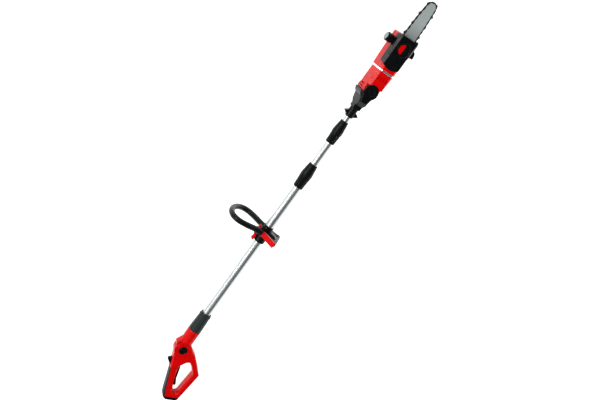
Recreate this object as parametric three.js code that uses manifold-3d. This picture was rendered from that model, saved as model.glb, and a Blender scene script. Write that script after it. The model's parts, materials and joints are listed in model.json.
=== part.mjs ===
// Cordless telescoping pole saw, lying on its side as it rests on the ground.
// Millimetres. X runs along the pole towards the saw tip and +Z is up.
import * as THREE from 'three';
import { mergeVertices } from 'three/addons/utils/BufferGeometryUtils.js';
import Module from 'manifold-3d';

const wasm = await Module();
wasm.setup();

// Driving dimensions. The tool's own frame has the pole's axis on X and the cutting bar's
// plane at right angles to Z. Each pair is [lower, upper] along the named axis.
const GAP = 0.3;                       // clearance between pieces that touch
const ROUND = 20;                      // sides of a round piece
const TOOL_ROLL = THREE.MathUtils.degToRad(27);   // handle and head, rolled about the pole
const FRAME_ORIGIN = { x: 17.8, y: -19, z: 94.25 }; // pole axis above the resting plane

const LOWER_TUBE = { outer: 16.5, inner: 15, x: [-640, 152] };
const MIDDLE_TUBE = { outer: 14, inner: 12.5, x: [-300, 350] };
const UPPER_TUBE = { outer: 11.5, inner: 10, x: [-170, 446] };
const LOWER_LOCK = { x: [91, 141, 193], ribbed: [19, 22], smooth: [22.5, 17.5], ribs: 18 };
const UPPER_LOCK = { x: [290, 332, 384], ribbed: [17.6, 20], smooth: [20.8, 16], ribs: 16 };

const NECK = { x: [-690, -600.7], radius: 26 };
const NECK_COLLAR = { x: [-600.4, -517], radius: [25.5, 22.5] };
const PIVOT = { x: -692, y: -3, boss: 35, tongue: 29, button: 17 };
const HANDLE_HALF = 20;                // half the thickness of the rear handle
const TONGUE_HALF = 9;
const DOCK = { x: -916.5, y: -84, angle: THREE.MathUtils.degToRad(12.7), thick: 13, half: 21 };

const SLEEVE = { x: [-163, -91], radius: 21 };
const LOOP = { x: -116, arm: 42, wide: 85, apex: 148, foot: -48, radius: 11 };
const CLAMP_BOLT = { x: -124, y: -50, radius: 3.2, eye: 4 };
const LEVER = { lean: THREE.MathUtils.degToRad(-12.8), half: 10.5, up: 55, cam: 6.2, pin: 6.5 };
const LATCH = { y: 27, z: 10, radius: 5.5 };

const HINGE = { x: 520, ear: 27.5, half: 38, inner: 28.3, tail: 30, sweep: 38 };
const HEAD_Y = -1;                     // centre line of motor, spindle and cutting bar
const HEAD_HALF = 38;
const BAND = [600.3, 606.7];
const COVER = { z: [10, 40], wall: 4.5 };
const MOTOR = { z: -10, radius: 19, x: [552, 598] };
const SPINDLE = { x: 660, radius: 4 };
const STUD = { x: 699, radius: 3.8 };
const BAR = { z: 25, half: 1.6, nose: { x: 864, radius: 17 } };
const CHAIN = { half: 3.2, gap: 0.5, depth: 4.2, cutters: 14 };
const GEARS = { crown: 20, pinion: 8 };  // teeth on the two gears
const OIL_CAP = { x: 706, z: -2, radius: 16 };

const MATERIALS = {
  red: new THREE.MeshStandardMaterial({ color: 0xc80a0a, roughness: 0.38, metalness: 0 }),
  black: new THREE.MeshStandardMaterial({ color: 0x15181a, roughness: 0.45, metalness: 0 }),
  grey: new THREE.MeshStandardMaterial({ color: 0x4a5654, roughness: 0.5, metalness: 0 }),
  rubber: new THREE.MeshStandardMaterial({ color: 0x2b3433, roughness: 0.8, metalness: 0 }),
  aluminium: new THREE.MeshStandardMaterial({ color: 0xc8d0d0, roughness: 0.3, metalness: 1 }),
  steel: new THREE.MeshStandardMaterial({ color: 0x8e9896, roughness: 0.35, metalness: 1 }),
  barSteel: new THREE.MeshStandardMaterial({ color: 0x76827f, roughness: 0.4, metalness: 1 }),
  chainSteel: new THREE.MeshStandardMaterial({ color: 0x1b1d1e, roughness: 0.4, metalness: 1 }),
  silver: new THREE.MeshStandardMaterial({ color: 0xc4cccb, roughness: 0.3, metalness: 0.9 }),
  brass: new THREE.MeshStandardMaterial({ color: 0xb08d3c, roughness: 0.4, metalness: 1 }),
};

// ---- solids ----------------------------------------------------------------------------

// A closed three.js geometry as a solid that can be joined and cut.
function solid(geometry) {
  const bare = geometry.clone();
  bare.deleteAttribute('normal');
  bare.deleteAttribute('uv');
  const merged = mergeVertices(bare, 1e-4);
  const corners = merged.index.array;
  const triangles = [];
  for (let i = 0; i < corners.length; i += 3) {
    const [a, b, c] = [corners[i], corners[i + 1], corners[i + 2]];
    if (a !== b && b !== c && c !== a) triangles.push(a, b, c);
  }
  return new wasm.Manifold(new wasm.Mesh({
    numProp: 3,
    vertProperties: new Float32Array(merged.attributes.position.array),
    triVerts: new Uint32Array(triangles),
  }));
}

// A solid as a three.js geometry.
function geometryOf(piece) {
  const mesh = piece.getMesh();
  const geometry = new THREE.BufferGeometry();
  geometry.setAttribute('position', new THREE.BufferAttribute(mesh.vertProperties, 3));
  geometry.setIndex(new THREE.BufferAttribute(mesh.triVerts, 1));
  geometry.computeVertexNormals();
  return geometry;
}

function part(name, piece, material) {
  const mesh = new THREE.Mesh(geometryOf(piece), material);
  mesh.name = name;
  return mesh;
}

function block(x, y, z) {
  const geometry = new THREE.BoxGeometry(x[1] - x[0], y[1] - y[0], z[1] - z[0]);
  geometry.translate((x[0] + x[1]) / 2, (y[0] + y[1]) / 2, (z[0] + z[1]) / 2);
  return solid(geometry);
}

// An outline in the XY plane, raised from z[0] to z[1].
function plate(outline, z, bevel = 0) {
  const shape = outline instanceof THREE.Shape ? outline : shapeOf(outline);
  const geometry = new THREE.ExtrudeGeometry(shape, {
    depth: z[1] - z[0] - 2 * bevel,
    curveSegments: 8,
    bevelEnabled: bevel > 0,
    bevelThickness: bevel,
    bevelSize: bevel,
    bevelOffset: -bevel,
    bevelSegments: 2,
  });
  geometry.translate(0, 0, z[0] + bevel);
  return solid(geometry);
}

function shapeOf(points) {
  return new THREE.Shape(points.map(([x, y]) => new THREE.Vector2(x, y)));
}

// A round bar along Z.
function rodZ(x, y, radius, z, sides = ROUND) {
  const geometry = new THREE.CylinderGeometry(radius, radius, z[1] - z[0], sides);
  geometry.rotateX(Math.PI / 2);
  geometry.translate(x, y, (z[0] + z[1]) / 2);
  return solid(geometry);
}

// A round bar along X.
function rodX(y, z, radius, x, sides = ROUND) {
  const geometry = new THREE.CylinderGeometry(radius, radius, x[1] - x[0], sides);
  geometry.rotateZ(-Math.PI / 2);
  geometry.translate((x[0] + x[1]) / 2, y, z);
  return solid(geometry);
}

// A profile of [along, radius] points turned about its own axis.
function turned(profile, sides = ROUND) {
  const points = profile.map(([along, radius]) => new THREE.Vector2(radius, along));
  return new THREE.LatheGeometry(points, sides);
}

function turnedX(profile, sides = ROUND) {
  return solid(turned(profile, sides).rotateZ(-Math.PI / 2));
}

function turnedY(profile, x, z, sides = ROUND) {
  return solid(turned(profile, sides).translate(x, 0, z));
}

function turnedZ(profile, x, y, sides = ROUND) {
  return solid(turned(profile, sides).rotateX(Math.PI / 2).translate(x, y, 0));
}

function tube(size) {
  return turnedX([[size.x[0], size.inner], [size.x[0], size.outer], [size.x[1], size.outer],
    [size.x[1], size.inner], [size.x[0], size.inner]]);
}

// A toothed wheel outline about the origin.
function star(teeth, root, tip) {
  const points = [];
  for (let i = 0; i < teeth * 4; i += 1) {
    const angle = (2 * Math.PI * (i + 0.5)) / (teeth * 4);
    const radius = i % 4 < 2 ? tip : root;
    points.push([radius * Math.cos(angle), radius * Math.sin(angle)]);
  }
  return shapeOf(points);
}

// A wedge about (x, y) between two angles, in degrees.
function wedge(x, y, radius, from, to) {
  const [start, end] = [THREE.MathUtils.degToRad(from), THREE.MathUtils.degToRad(to)];
  const shape = new THREE.Shape();
  shape.moveTo(x, y);
  shape.lineTo(x + radius * Math.cos(start), y + radius * Math.sin(start));
  shape.absarc(x, y, radius, start, end, false);
  return shape;
}

function disc(x, y, radius) {
  const shape = new THREE.Shape();
  shape.absarc(x, y, radius, 0, 2 * Math.PI, false);
  return shape;
}

// The section of the head's casing: a rectangle with its four edges cut off, run along X.
function casingSection(y, half, cut, x) {
  const [low, high] = y;
  const section = shapeOf([[low + cut, -half], [high - cut, -half], [high, -half + cut],
    [high, half - cut], [high - cut, half], [low + cut, half], [low, half - cut],
    [low, -half + cut]]);
  const geometry = new THREE.ExtrudeGeometry(section, { depth: x[1] - x[0], bevelEnabled: false });
  // The section's own x and y become Y and Z, and its depth becomes X.
  geometry.applyMatrix4(new THREE.Matrix4().set(
    0, 0, 1, x[0],
    1, 0, 0, 0,
    0, 1, 0, 0,
    0, 0, 0, 1,
  ));
  return solid(geometry);
}

// ---- pole ------------------------------------------------------------------------------

function tubeGuide(name, size, outer, inner) {
  const x = [size.x[0] - 14, size.x[0] - GAP];
  const ring = tube({ x, outer, inner });
  return part(name, ring, MATERIALS.black);
}

// A twist lock: a ribbed nut, a smooth tapered housing and the split collet inside it.
function twistLock(prefix, lock, around, inside) {
  const bore = around.outer + 0.4;
  const [start, middle, end] = lock.x;
  const seat = around.x[1] + 1;
  const lip = end - 12;
  const nutCone = turnedX([[start, bore], [start, lock.ribbed[0]], [middle - GAP, lock.ribbed[1]],
    [middle - GAP, bore], [start, bore]]);
  const ribbed = new THREE.ExtrudeGeometry(star(lock.ribs, lock.ribbed[0] - 0.6, lock.ribbed[1]),
    { depth: middle - start, bevelEnabled: false });
  ribbed.rotateY(Math.PI / 2).translate(start, 0, 0);
  const nut = nutCone.intersect(solid(ribbed));
  const housing = turnedX([[middle, bore], [middle, lock.smooth[0] - 1],
    [middle + 3, lock.smooth[0]], [end - 2, lock.smooth[1]], [end, lock.smooth[1] - 1.5],
    [end, inside.outer + 0.5], [lip, inside.outer + 0.5], [lip, bore], [middle, bore]]);
  const ring = tube({ x: [seat, lip - GAP], outer: bore - 0.4, inner: inside.outer + GAP });
  const slit = block([seat - 1, lip], [0, bore + 2], [-1.2, 1.2]);
  return {
    nut: part(`${prefix}_lock_nut`, nut, MATERIALS.black),
    housing: part(`${prefix}_lock_housing`, housing, MATERIALS.black),
    collet: part(`${prefix}_lock_collet`, ring.subtract(slit), MATERIALS.grey),
  };
}

function pole() {
  const group = new THREE.Group();
  const lower = twistLock('lower', LOWER_LOCK, LOWER_TUBE, MIDDLE_TUBE);
  const upper = twistLock('upper', UPPER_LOCK, MIDDLE_TUBE, UPPER_TUBE);
  group.add(
    part('lower_tube', tube(LOWER_TUBE), MATERIALS.aluminium),
    part('middle_tube', tube(MIDDLE_TUBE), MATERIALS.aluminium),
    part('upper_tube', tube(UPPER_TUBE), MATERIALS.aluminium),
    tubeGuide('middle_tube_guide', MIDDLE_TUBE, 14.7, 10.6),
    tubeGuide('upper_tube_guide', UPPER_TUBE, 12.2, 9),
    lower.nut, lower.housing, lower.collet,
    upper.nut, upper.housing, upper.collet,
    part('coiled_lead', rodX(0, 0, 8, [-636, 20], 12), MATERIALS.black),
    part('head_lead', rodX(0, 0, 3, [150, 448], 8), MATERIALS.black),
  );
  return group;
}

// ---- neck between the pole and the rear handle -----------------------------------------

function neckCollar() {
  const bore = LOWER_TUBE.outer + 0.4;
  const [from, to] = NECK_COLLAR.x;
  const [wide, narrow] = NECK_COLLAR.radius;
  const profile = [[from, bore], [from, wide - 1], [from + 3, wide], [to - 12, narrow],
    [to - 11, narrow + 1.5], [to - 7, narrow + 1.5], [to - 6, narrow - 1], [to, narrow - 2],
    [to, bore], [from, bore]];
  return part('neck_collar', turnedX(profile), MATERIALS.grey);
}

function neckShells() {
  const [from, to] = NECK.x;
  const barrel = turnedX([[from, 0], [from, NECK.radius - 1], [to - 6, NECK.radius],
    [to, NECK.radius - 1], [to, 0]]);
  const hood = plate([[-650, 18], [-650, 26], [-658, 30], [-672, 37.5], [-684, 33.5], [-684, 18]],
    [-13, 13], 2);
  const aroundBoss = rodZ(PIVOT.x, PIVOT.y, PIVOT.boss + 1, [-60, 60], 32);
  const tongue = rodZ(PIVOT.x, PIVOT.y, PIVOT.tongue, [-TONGUE_HALF, TONGUE_HALF])
    .add(block([PIVOT.x, -650], [PIVOT.y - 14, PIVOT.y + 14], [-TONGUE_HALF, TONGUE_HALF]));
  const bore = rodX(0, 0, LOWER_TUBE.outer + 0.4, [-642, to + 1]);
  const axleHole = rodZ(PIVOT.x, PIVOT.y, 5.3, [-30, 30]);
  const whole = barrel.add(hood).subtract(aroundBoss).add(tongue).subtract(bore).subtract(axleHole);
  return halves('neck_shell', whole, MATERIALS.red);
}

// A casing parted along the tool's middle plane.
function halves(name, whole, material) {
  const reach = 400;
  const near = block([-1200, 1200], [-reach, reach], [GAP / 2, reach]);
  const far = block([-1200, 1200], [-reach, reach], [-reach, -GAP / 2]);
  return [
    part(`${name}_near`, whole.intersect(near), material),
    part(`${name}_far`, whole.intersect(far), material),
  ];
}

// ---- rear handle -----------------------------------------------------------------------

// A piece made in the battery dock's own frame: x into the handle, y up the dock face.
function onDock(piece) {
  const turn = new THREE.Matrix4().makeRotationZ(DOCK.angle);
  turn.setPosition(DOCK.x, DOCK.y, 0);
  const geometry = geometryOf(piece);
  geometry.applyMatrix4(turn);
  return solid(geometry);
}

function handleBody() {
  const outline = shapeOf([[-692, 31], [-739, 14.5], [-801, -8], [-836, -20], [-894, -39],
    [-914, -47], [-930, -60], [-914, -116], [-897, -114], [-772, -128], [-726, -89],
    [-697, -63], [-672, -32], [-668, -10]]);
  const opening = new THREE.Path([[-763, -33], [-739, -49], [-733, -60], [-749, -79],
    [-778, -101], [-880, -93], [-886, -86], [-878, -69], [-830, -49], [-790, -37]]
    .map(([x, y]) => new THREE.Vector2(x, y)));
  outline.holes.push(opening);
  const boss = plate(disc(PIVOT.x, PIVOT.y, PIVOT.boss), [-HANDLE_HALF, HANDLE_HALF], 2);
  const behindDock = onDock(block([-60, DOCK.thick + GAP], [-80, 80], [-60, 60]));
  return plate(outline, [-HANDLE_HALF, HANDLE_HALF], 5).add(boss).subtract(behindDock);
}

// The region of the handle's back that carries the soft grip.
function gripRegion(margin) {
  return plate([[-780 + margin, 20], [-784 + margin, -6 - margin], [-820, -19 - margin],
    [-884, -43 - margin], [-940, -66 - margin], [-940, 20]], [-60, 60]);
}

const SCREWS = [[-800, -113.5], [-716, -67]];

function handleShells(body) {
  const slot = rodZ(PIVOT.x, PIVOT.y, PIVOT.tongue + 0.6, [-TONGUE_HALF - 0.4, TONGUE_HALF + 0.4])
    .add(plate(wedge(PIVOT.x, PIVOT.y, 50, -42, 80), [-TONGUE_HALF - 0.4, TONGUE_HALF + 0.4]));
  const cavity = plate([[-744, 2], [-800, -18], [-836, -30], [-890, -50], [-893, -58],
    [-880, -60], [-830, -43], [-790, -31], [-750, -26], [-744, -22]], [-13, 13]);
  const triggerWay = plate([[-759, -22], [-759, -46], [-800, -62], [-862, -80], [-864, -50],
    [-830, -34], [-800, -24]], [-9, 9]);
  const finWay = plate([[-781, 6], [-740.5, 22], [-740.5, -6], [-781, -14]], [-6.4, 6.4]);
  let whole = body.subtract(gripRegion(GAP)).subtract(slot).subtract(cavity)
    .subtract(triggerWay).subtract(finWay)
    .subtract(rodZ(PIVOT.x, PIVOT.y, 5.3, [-30, 30]))
    .subtract(rodZ(PIVOT.x, PIVOT.y, PIVOT.button + 0.4, [12.8, 30]))
    .subtract(rodZ(PIVOT.x, PIVOT.y, PIVOT.button + 0.4, [-30, -15.8]));
  for (const [x, y] of SCREWS) {
    whole = whole.subtract(rodZ(x, y, 3.6, [-30, -16.2], 16)).subtract(rodZ(x, y, 2, [-30, 9], 12));
  }
  return halves('handle_shell', whole, MATERIALS.red);
}

function trigger() {
  const outline = [[-762, -27], [-766, -40], [-786, -46], [-823, -56], [-849, -69], [-856, -67],
    [-854, -57], [-830, -44], [-800, -33]];
  return part('trigger', plate(outline, [-8.5, 8.5], 1.5), MATERIALS.black);
}

function lockOffButton() {
  const outline = [[-779, -2], [-776, 4], [-757, 24.5], [-751, 23], [-744, 13], [-742, 2],
    [-742, -2], [-778, -8]];
  return part('lock_off_button', plate(outline, [-6, 6], 1.2), MATERIALS.black);
}

function pivotPieces() {
  const button = turnedZ([[17, 0], [17, PIVOT.button - 1], [18, PIVOT.button],
    [21, PIVOT.button], [23, PIVOT.button - 2.5], [23.6, 0]], PIVOT.x, PIVOT.y);
  const axle = turnedZ([[-22, 0], [-22, PIVOT.button - 2], [-20, PIVOT.button],
    [-16.2, PIVOT.button], [-16.2, 5], [12.4, 5], [12.4, 0]], PIVOT.x, PIVOT.y);
  return [
    part('pivot_button', button, MATERIALS.black),
    part('pivot_axle', axle, MATERIALS.black),
  ];
}

function batteryDock() {
  const outline = [[0, -21], [0, 20], [6, 30], [13, 36], [13, -29], [4, -27]];
  const pocket = block([-1, 6], [-8, 14], [-10, 10]);
  const rail = (z) => block([3.5, 8], [-40, 22], z);
  const shoe = plate(outline, [-DOCK.half, DOCK.half], 1).subtract(pocket)
    .subtract(rail([DOCK.half - 4, DOCK.half + 5])).subtract(rail([-DOCK.half - 5, 4 - DOCK.half]));
  let contacts = block([2.5, 5.7], [-7.7, 13.7], [-9.7, 9.7]);
  for (const z of [-6, 0, 6]) {
    contacts = contacts.add(block([0.4, 3], [-5, 10], [z - 0.5, z + 0.5]));
  }
  return [
    part('battery_shoe', onDock(shoe), MATERIALS.black),
    part('contact_block', onDock(contacts), MATERIALS.brass),
  ];
}

function switchModule() {
  const outline = [[-785, -13.4], [-825, -27.2], [-822.4, -34.6], [-782.4, -20.8]];
  return part('switch_module', plate(outline, [-8, 8]), MATERIALS.grey);
}

function screw(name, x, y) {
  const profile = [[-19.6, 0], [-19.6, 2.6], [-18.6, 3.2], [-16.5, 3.2], [-16.5, 1.6], [8, 1.6],
    [8.6, 0]];
  return part(name, turnedZ(profile, x, y, 12), MATERIALS.steel);
}

function rearHandle() {
  const group = new THREE.Group();
  const body = handleBody();
  group.add(
    ...handleShells(body),
    part('grip_overmould', body.intersect(gripRegion(0)).subtract(
      plate([[-781, 6], [-740.5, 22], [-740.5, -6], [-781, -14]], [-6.4, 6.4])), MATERIALS.rubber),
    trigger(),
    lockOffButton(),
    ...pivotPieces(),
    ...batteryDock(),
    switchModule(),
    ...SCREWS.map(([x, y], i) => screw(`handle_screw_${i + 1}`, x, y)),
  );
  return group;
}

// ---- front loop handle -----------------------------------------------------------------

function clampHalves() {
  const [from, to] = SLEEVE.x;
  const radius = SLEEVE.radius;
  const bore = LOWER_TUBE.outer + 0.4;
  const sleeve = turnedX([[from, bore], [from, radius - 2], [from + 4, radius],
    [to - 10, radius], [to - 6, radius - 2], [to - 2, radius - 1], [to, radius - 2],
    [to, bore], [from, bore]]);
  const way = rodX(0, 0, bore, [from - 1, to + 1]);
  const boltHole = rodZ(CLAMP_BOLT.x, CLAMP_BOLT.y, CLAMP_BOLT.radius + GAP, [-40, 40], 16);
  const lowerLug = plate([[-142, -10], [-140, -46], [-133, -58], [-116, -58], [-104, -38],
    [-100, -10]], [-30.7, 30.7], 2).subtract(way).subtract(boltHole);
  const upperLug = plate([[-138, 10], [-138, 34], [-134, 37], [-118, 37], [-116, 32], [-116, 10]],
    [-2, 22]).subtract(way)
    .subtract(rodX(LATCH.y, LATCH.z, LATCH.radius + GAP, [-150, -100], 16));
  const above = block([-300, 0], [GAP / 2, 90], [-90, 90]);
  const below = block([-300, 0], [-90, -GAP / 2], [-90, 90]);
  return [
    part('clamp_upper_half', sleeve.intersect(above).add(upperLug), MATERIALS.black),
    part('clamp_lower_half', sleeve.intersect(below).add(lowerLug), MATERIALS.black),
  ];
}

function loopGrip() {
  const side = [[LOOP.arm, LOOP.foot, -8], [LOOP.arm, -15, -5], [LOOP.arm + 1, 8, -2],
    [LOOP.arm + 8, 34, 0], [LOOP.wide - 14, 66, 0], [LOOP.wide, 98, 0],
    [LOOP.wide - 11, 124, 0], [LOOP.wide - 42, 142, 0]];
  const near = side.map(([z, y, dx]) => new THREE.Vector3(LOOP.x + dx, y, z));
  const far = side.map(([z, y, dx]) => new THREE.Vector3(LOOP.x + dx, y, -z)).reverse();
  const path = new THREE.CatmullRomCurve3([...near, new THREE.Vector3(LOOP.x, LOOP.apex, 0), ...far]);
  const section = disc(0, 0, LOOP.radius);
  const sweep = new THREE.ExtrudeGeometry(section, { steps: 32, curveSegments: 5, extrudePath: path });
  const ends = rodZ(CLAMP_BOLT.x, LOOP.foot, LOOP.radius, [LOOP.arm - 10.6, LOOP.arm + 10.6], 20)
    .add(rodZ(CLAMP_BOLT.x, LOOP.foot, LOOP.radius, [-LOOP.arm - 10.6, 10.6 - LOOP.arm], 20));
  const hole = rodZ(CLAMP_BOLT.x, CLAMP_BOLT.y, CLAMP_BOLT.radius + GAP, [-70, 70], 16);
  return part('loop_grip', solid(sweep).add(ends).subtract(hole), MATERIALS.black);
}

// A piece made in the lever's own frame: x along its hinge, y up the lever, z outwards
// from the near arm, with the hinge pin's axis through y = 0 and z = LEVER.pin.

function onLever(piece) {
  const turn = new THREE.Matrix4().makeRotationZ(LEVER.lean);
  turn.setPosition(CLAMP_BOLT.x, CLAMP_BOLT.y, LOOP.arm + LOOP.radius);
  const geometry = geometryOf(piece);
  geometry.applyMatrix4(turn);
  return solid(geometry);
}

function clampLever() {
  const side = new THREE.Shape();
  side.moveTo(8, LEVER.pin - 4);
  side.lineTo(LEVER.up - 5, 3);
  side.lineTo(LEVER.up, 5);
  side.lineTo(LEVER.up, 13);
  side.lineTo(LEVER.up - 4, 13);
  side.lineTo(LEVER.up - 7, 9.5);
  side.lineTo(0, LEVER.pin + LEVER.cam);
  side.absarc(0, LEVER.pin, LEVER.cam, Math.PI / 2, (3 * Math.PI) / 2, false);
  const geometry = new THREE.ExtrudeGeometry(side, { depth: 2 * LEVER.half, bevelEnabled: false });
  // The profile's x and y become the lever's y and z, and its depth becomes x.
  geometry.applyMatrix4(new THREE.Matrix4().set(
    0, 0, 1, -LEVER.half,
    1, 0, 0, 0,
    0, 1, 0, 0,
    0, 0, 0, 1,
  ));
  // Room for the bolt's eye and for its shank, which swings out past the lever's end.
  const reach = CLAMP_BOLT.eye + 0.5;
  const slot = rodX(0, LEVER.pin, reach, [-4.6, 4.6], 20)
    .add(block([-4.6, 4.6], [-8, reach], [-2, LEVER.pin]))
    .add(block([-4.6, 4.6], [-8, 0], [-2, LEVER.pin + 3.4]))
    .add(block([-4.6, 4.6], [-8, -reach], [-2, 20]));
  const hole = rodX(0, LEVER.pin, 2.5, [-20, 20], 16);
  return part('clamp_lever', onLever(solid(geometry).subtract(slot).subtract(hole)), MATERIALS.red);
}

function clampFasteners() {
  const reach = LOOP.arm + LOOP.radius;
  const pin = onLever(rodX(0, LEVER.pin, 2.2, [-9.8, 9.8], 16));
  const eye = onLever(rodX(0, LEVER.pin, CLAMP_BOLT.eye, [-4.2, 4.2], 20)
    .subtract(rodX(0, LEVER.pin, 2.5, [-6, 6], 16)));
  const shank = rodZ(CLAMP_BOLT.x, CLAMP_BOLT.y, CLAMP_BOLT.radius, [-reach - 7, reach + 3.4], 16);
  const nut = rodZ(CLAMP_BOLT.x, CLAMP_BOLT.y, 8, [-reach - 7, -reach - GAP], 6)
    .subtract(rodZ(CLAMP_BOLT.x, CLAMP_BOLT.y, CLAMP_BOLT.radius + GAP, [-80, -40], 16));
  return [
    part('lever_pin', pin, MATERIALS.steel),
    part('clamp_bolt', shank.add(eye), MATERIALS.steel),
    part('clamp_nut', nut, MATERIALS.steel),
  ];
}

function loopLatch() {
  const head = plate([[-169, 23], [-160, 33], [-146, 30], [-143, 30], [-143, 19], [-160, 19]],
    [LATCH.z - 8, LATCH.z + 8], 1.5).subtract(rodX(0, 0, SLEEVE.radius + GAP, [-180, -80]));
  const stem = rodX(LATCH.y, LATCH.z, LATCH.radius, [-145, -110], 16);
  const knob = solid(new THREE.SphereGeometry(6.6, 16, 10).translate(-109, LATCH.y, LATCH.z))
    .intersect(block([-115.6, -95], [0, 50], [-20, 40]));
  return part('loop_latch', head.add(stem).add(knob), MATERIALS.red);
}

function loopHandle() {
  const group = new THREE.Group();
  group.add(...clampHalves(), loopGrip(), clampLever(), ...clampFasteners(), loopLatch());
  return group;
}

// ---- tilting head joint ----------------------------------------------------------------

function headKnuckle() {
  const socket = turnedX([[404, 0], [404, 14.5], [406, 16], [458, 16], [458, 0]]);
  const wings = plate([[404, 8], [419, 30], [429, 15], [429, -15], [419, -31], [404, -8]],
    [-8, 8], 1);
  const side = shapeOf([[440, -15.5], [456, -16], [478, -24], [498, -26.5], [520, -HINGE.ear],
    [552, -HINGE.ear], [552, HINGE.ear], [520, HINGE.ear], [498, 26.5], [480, 23], [456, 15.5],
    [440, 15.5]]);
  const top = new THREE.ExtrudeGeometry(shapeOf([[440, -15.5], [456, -17], [476, -HINGE.half],
    [552, -HINGE.half], [552, HINGE.half], [476, HINGE.half], [456, 17], [440, 15.5]]),
  { depth: 80, bevelEnabled: false });
  top.rotateX(-Math.PI / 2).translate(0, -40, 0);
  const beyond = plate([[HINGE.x, -60], [600, -60], [600, 60], [HINGE.x, 60]], [-50, 50]);
  const ears = rodZ(HINGE.x, 0, HINGE.ear, [-HINGE.half, HINGE.half], 32);
  const fork = plate(side, [-HINGE.half, HINGE.half]).intersect(solid(top)).subtract(beyond)
    .add(ears)
    .subtract(rodZ(HINGE.x, 0, HINGE.sweep, [-HINGE.inner, HINGE.inner], 32));
  const whole = socket.add(wings).add(fork)
    .subtract(rodX(0, 0, UPPER_TUBE.outer + GAP, [400, 448.5]))
    .subtract(rodX(0, 0, 4, [440, 500], 12))
    .subtract(rodZ(HINGE.x, 0, 4.3, [-60, 60], 16))
    .subtract(rodZ(HINGE.x, 0, 13.4, [33, 60]));
  return part('head_knuckle', whole, MATERIALS.black);
}

function knuckleBridge() {
  const inner = HINGE.tail + 1.2;
  const outer = HINGE.sweep - 0.5;
  const shell = plate(wedge(HINGE.x, 0, outer, 105, 196), [-HINGE.inner + 0.6, HINGE.inner - 0.6])
    .subtract(rodZ(HINGE.x, 0, inner, [-60, 60], 32));
  return part('knuckle_bridge', shell, MATERIALS.grey);
}

function hingePieces() {
  const pin = rodZ(HINGE.x, 0, 4, [-37, 32.4], 16);
  const button = turnedZ([[35.6, 0], [35.6, 13], [39, 13], [40.4, 11.5], [40.6, 0]], HINGE.x, 0);
  return [
    part('hinge_pin', pin, MATERIALS.steel),
    part('tilt_lock_button', button, MATERIALS.black),
  ];
}

// ---- saw head --------------------------------------------------------------------------

function motorHousing() {
  const back = 541;
  const wide = plate([[back, 30], [BAND[0] - GAP, 28], [BAND[0] - GAP, -39], [back, -31]],
    [-HEAD_HALF, HEAD_HALF])
    .intersect(casingSection([-40, 31], HEAD_HALF, 12, [back - 1, BAND[0]]));
  const tailHalf = HINGE.inner - 0.4;
  const tail = rodZ(HINGE.x, 0, HINGE.tail, [-tailHalf, tailHalf], 32)
    .add(plate([[HINGE.x, -HINGE.tail], [back + 4, -31], [back + 4, 30], [HINGE.x, HINGE.tail]],
      [-tailHalf, tailHalf]));
  let whole = wide.add(tail)
    .subtract(rodZ(HINGE.x, 0, HINGE.ear + 0.8, [HINGE.inner - 0.4, 60], 32))
    .subtract(rodZ(HINGE.x, 0, HINGE.ear + 0.8, [-60, 0.4 - HINGE.inner], 32))
    .subtract(rodX(HEAD_Y, MOTOR.z, MOTOR.radius + 0.6, [MOTOR.x[0] - 1, 620]))
    .subtract(rodZ(HINGE.x, 0, 4.3, [-60, 60], 16));
  for (const y of [12, 1, -10, -21]) {
    whole = whole.subtract(block([568, 584], [y - 1.3, y + 1.3], [HEAD_HALF - 3, 60]));
  }
  for (const x of [511, 521, 531]) {
    whole = whole.subtract(block([x - 2, x + 2], [24, 60], [-18, 18]));
  }
  return halves('motor_housing', whole, MATERIALS.red);
}

function silverBand() {
  const outer = casingSection([-40.4, 29], HEAD_HALF + 0.8, 12, BAND);
  return part('silver_band', outer.subtract(rodX(HEAD_Y, MOTOR.z, 22, [590, 620])), MATERIALS.silver);
}

// The sprocket cover's outline, whose rear edge is an arc.
function coverOutline() {
  const shape = new THREE.Shape();
  shape.moveTo(630, -35);
  shape.lineTo(677, -35.5);
  shape.lineTo(690, -41);
  shape.lineTo(739, -43);
  shape.lineTo(741, -30);
  shape.lineTo(741, 30);
  shape.lineTo(738, 38);
  shape.lineTo(700, 38);
  shape.lineTo(630, 35);
  shape.quadraticCurveTo(605, 0, 630, -35);
  return shape;
}

function gearHousing() {
  const start = BAND[1] + GAP;
  const far = plate([[start, 28], [660, 33], [700, 36], [738, 38], [741, 31], [743, 15],
    [743, -30], [738, -41], [690, -40], [677, -36], [start, -39]], [-HEAD_HALF, 9.7])
    .intersect(casingSection([-42, 39], HEAD_HALF, 12, [start - 1, 750]));
  const rearNear = plate([[start, 28], [636, 31.6], [636, -38], [start, -39]], [0, HEAD_HALF])
    .intersect(casingSection([-40.4, 31.6], HEAD_HALF, 12, [start, 700]))
    .subtract(plate(coverOutline(), [COVER.z[0] - GAP, 60]))
    .subtract(plate([[618.5, 0], [629, -35.3], [700, -60], [700, 60], [629, 35.3]], [9.7, 60]));
  const chamber = rodZ(SPINDLE.x, HEAD_Y, 23, [-22, 4], 32);
  const whole = far.add(rearNear)
    .subtract(chamber)
    .subtract(rodX(HEAD_Y, MOTOR.z, 9, [590, 655]))
    .subtract(rodZ(SPINDLE.x, HEAD_Y, SPINDLE.radius + GAP, [-28, 30], 20))
    .subtract(rodZ(STUD.x, HEAD_Y, STUD.radius + GAP, [-6, 30], 16))
    .subtract(block([690, 728], [7, 33.5], [-30, 3]))
    .subtract(cylinderY(OIL_CAP.x, OIL_CAP.z, 10, [30, 60]));
  return part('gear_housing', whole, MATERIALS.red);
}

function cylinderY(x, z, radius, y) {
  return turnedY([[y[0], 0], [y[0], radius], [y[1], radius], [y[1], 0]], x, z);
}

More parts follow.
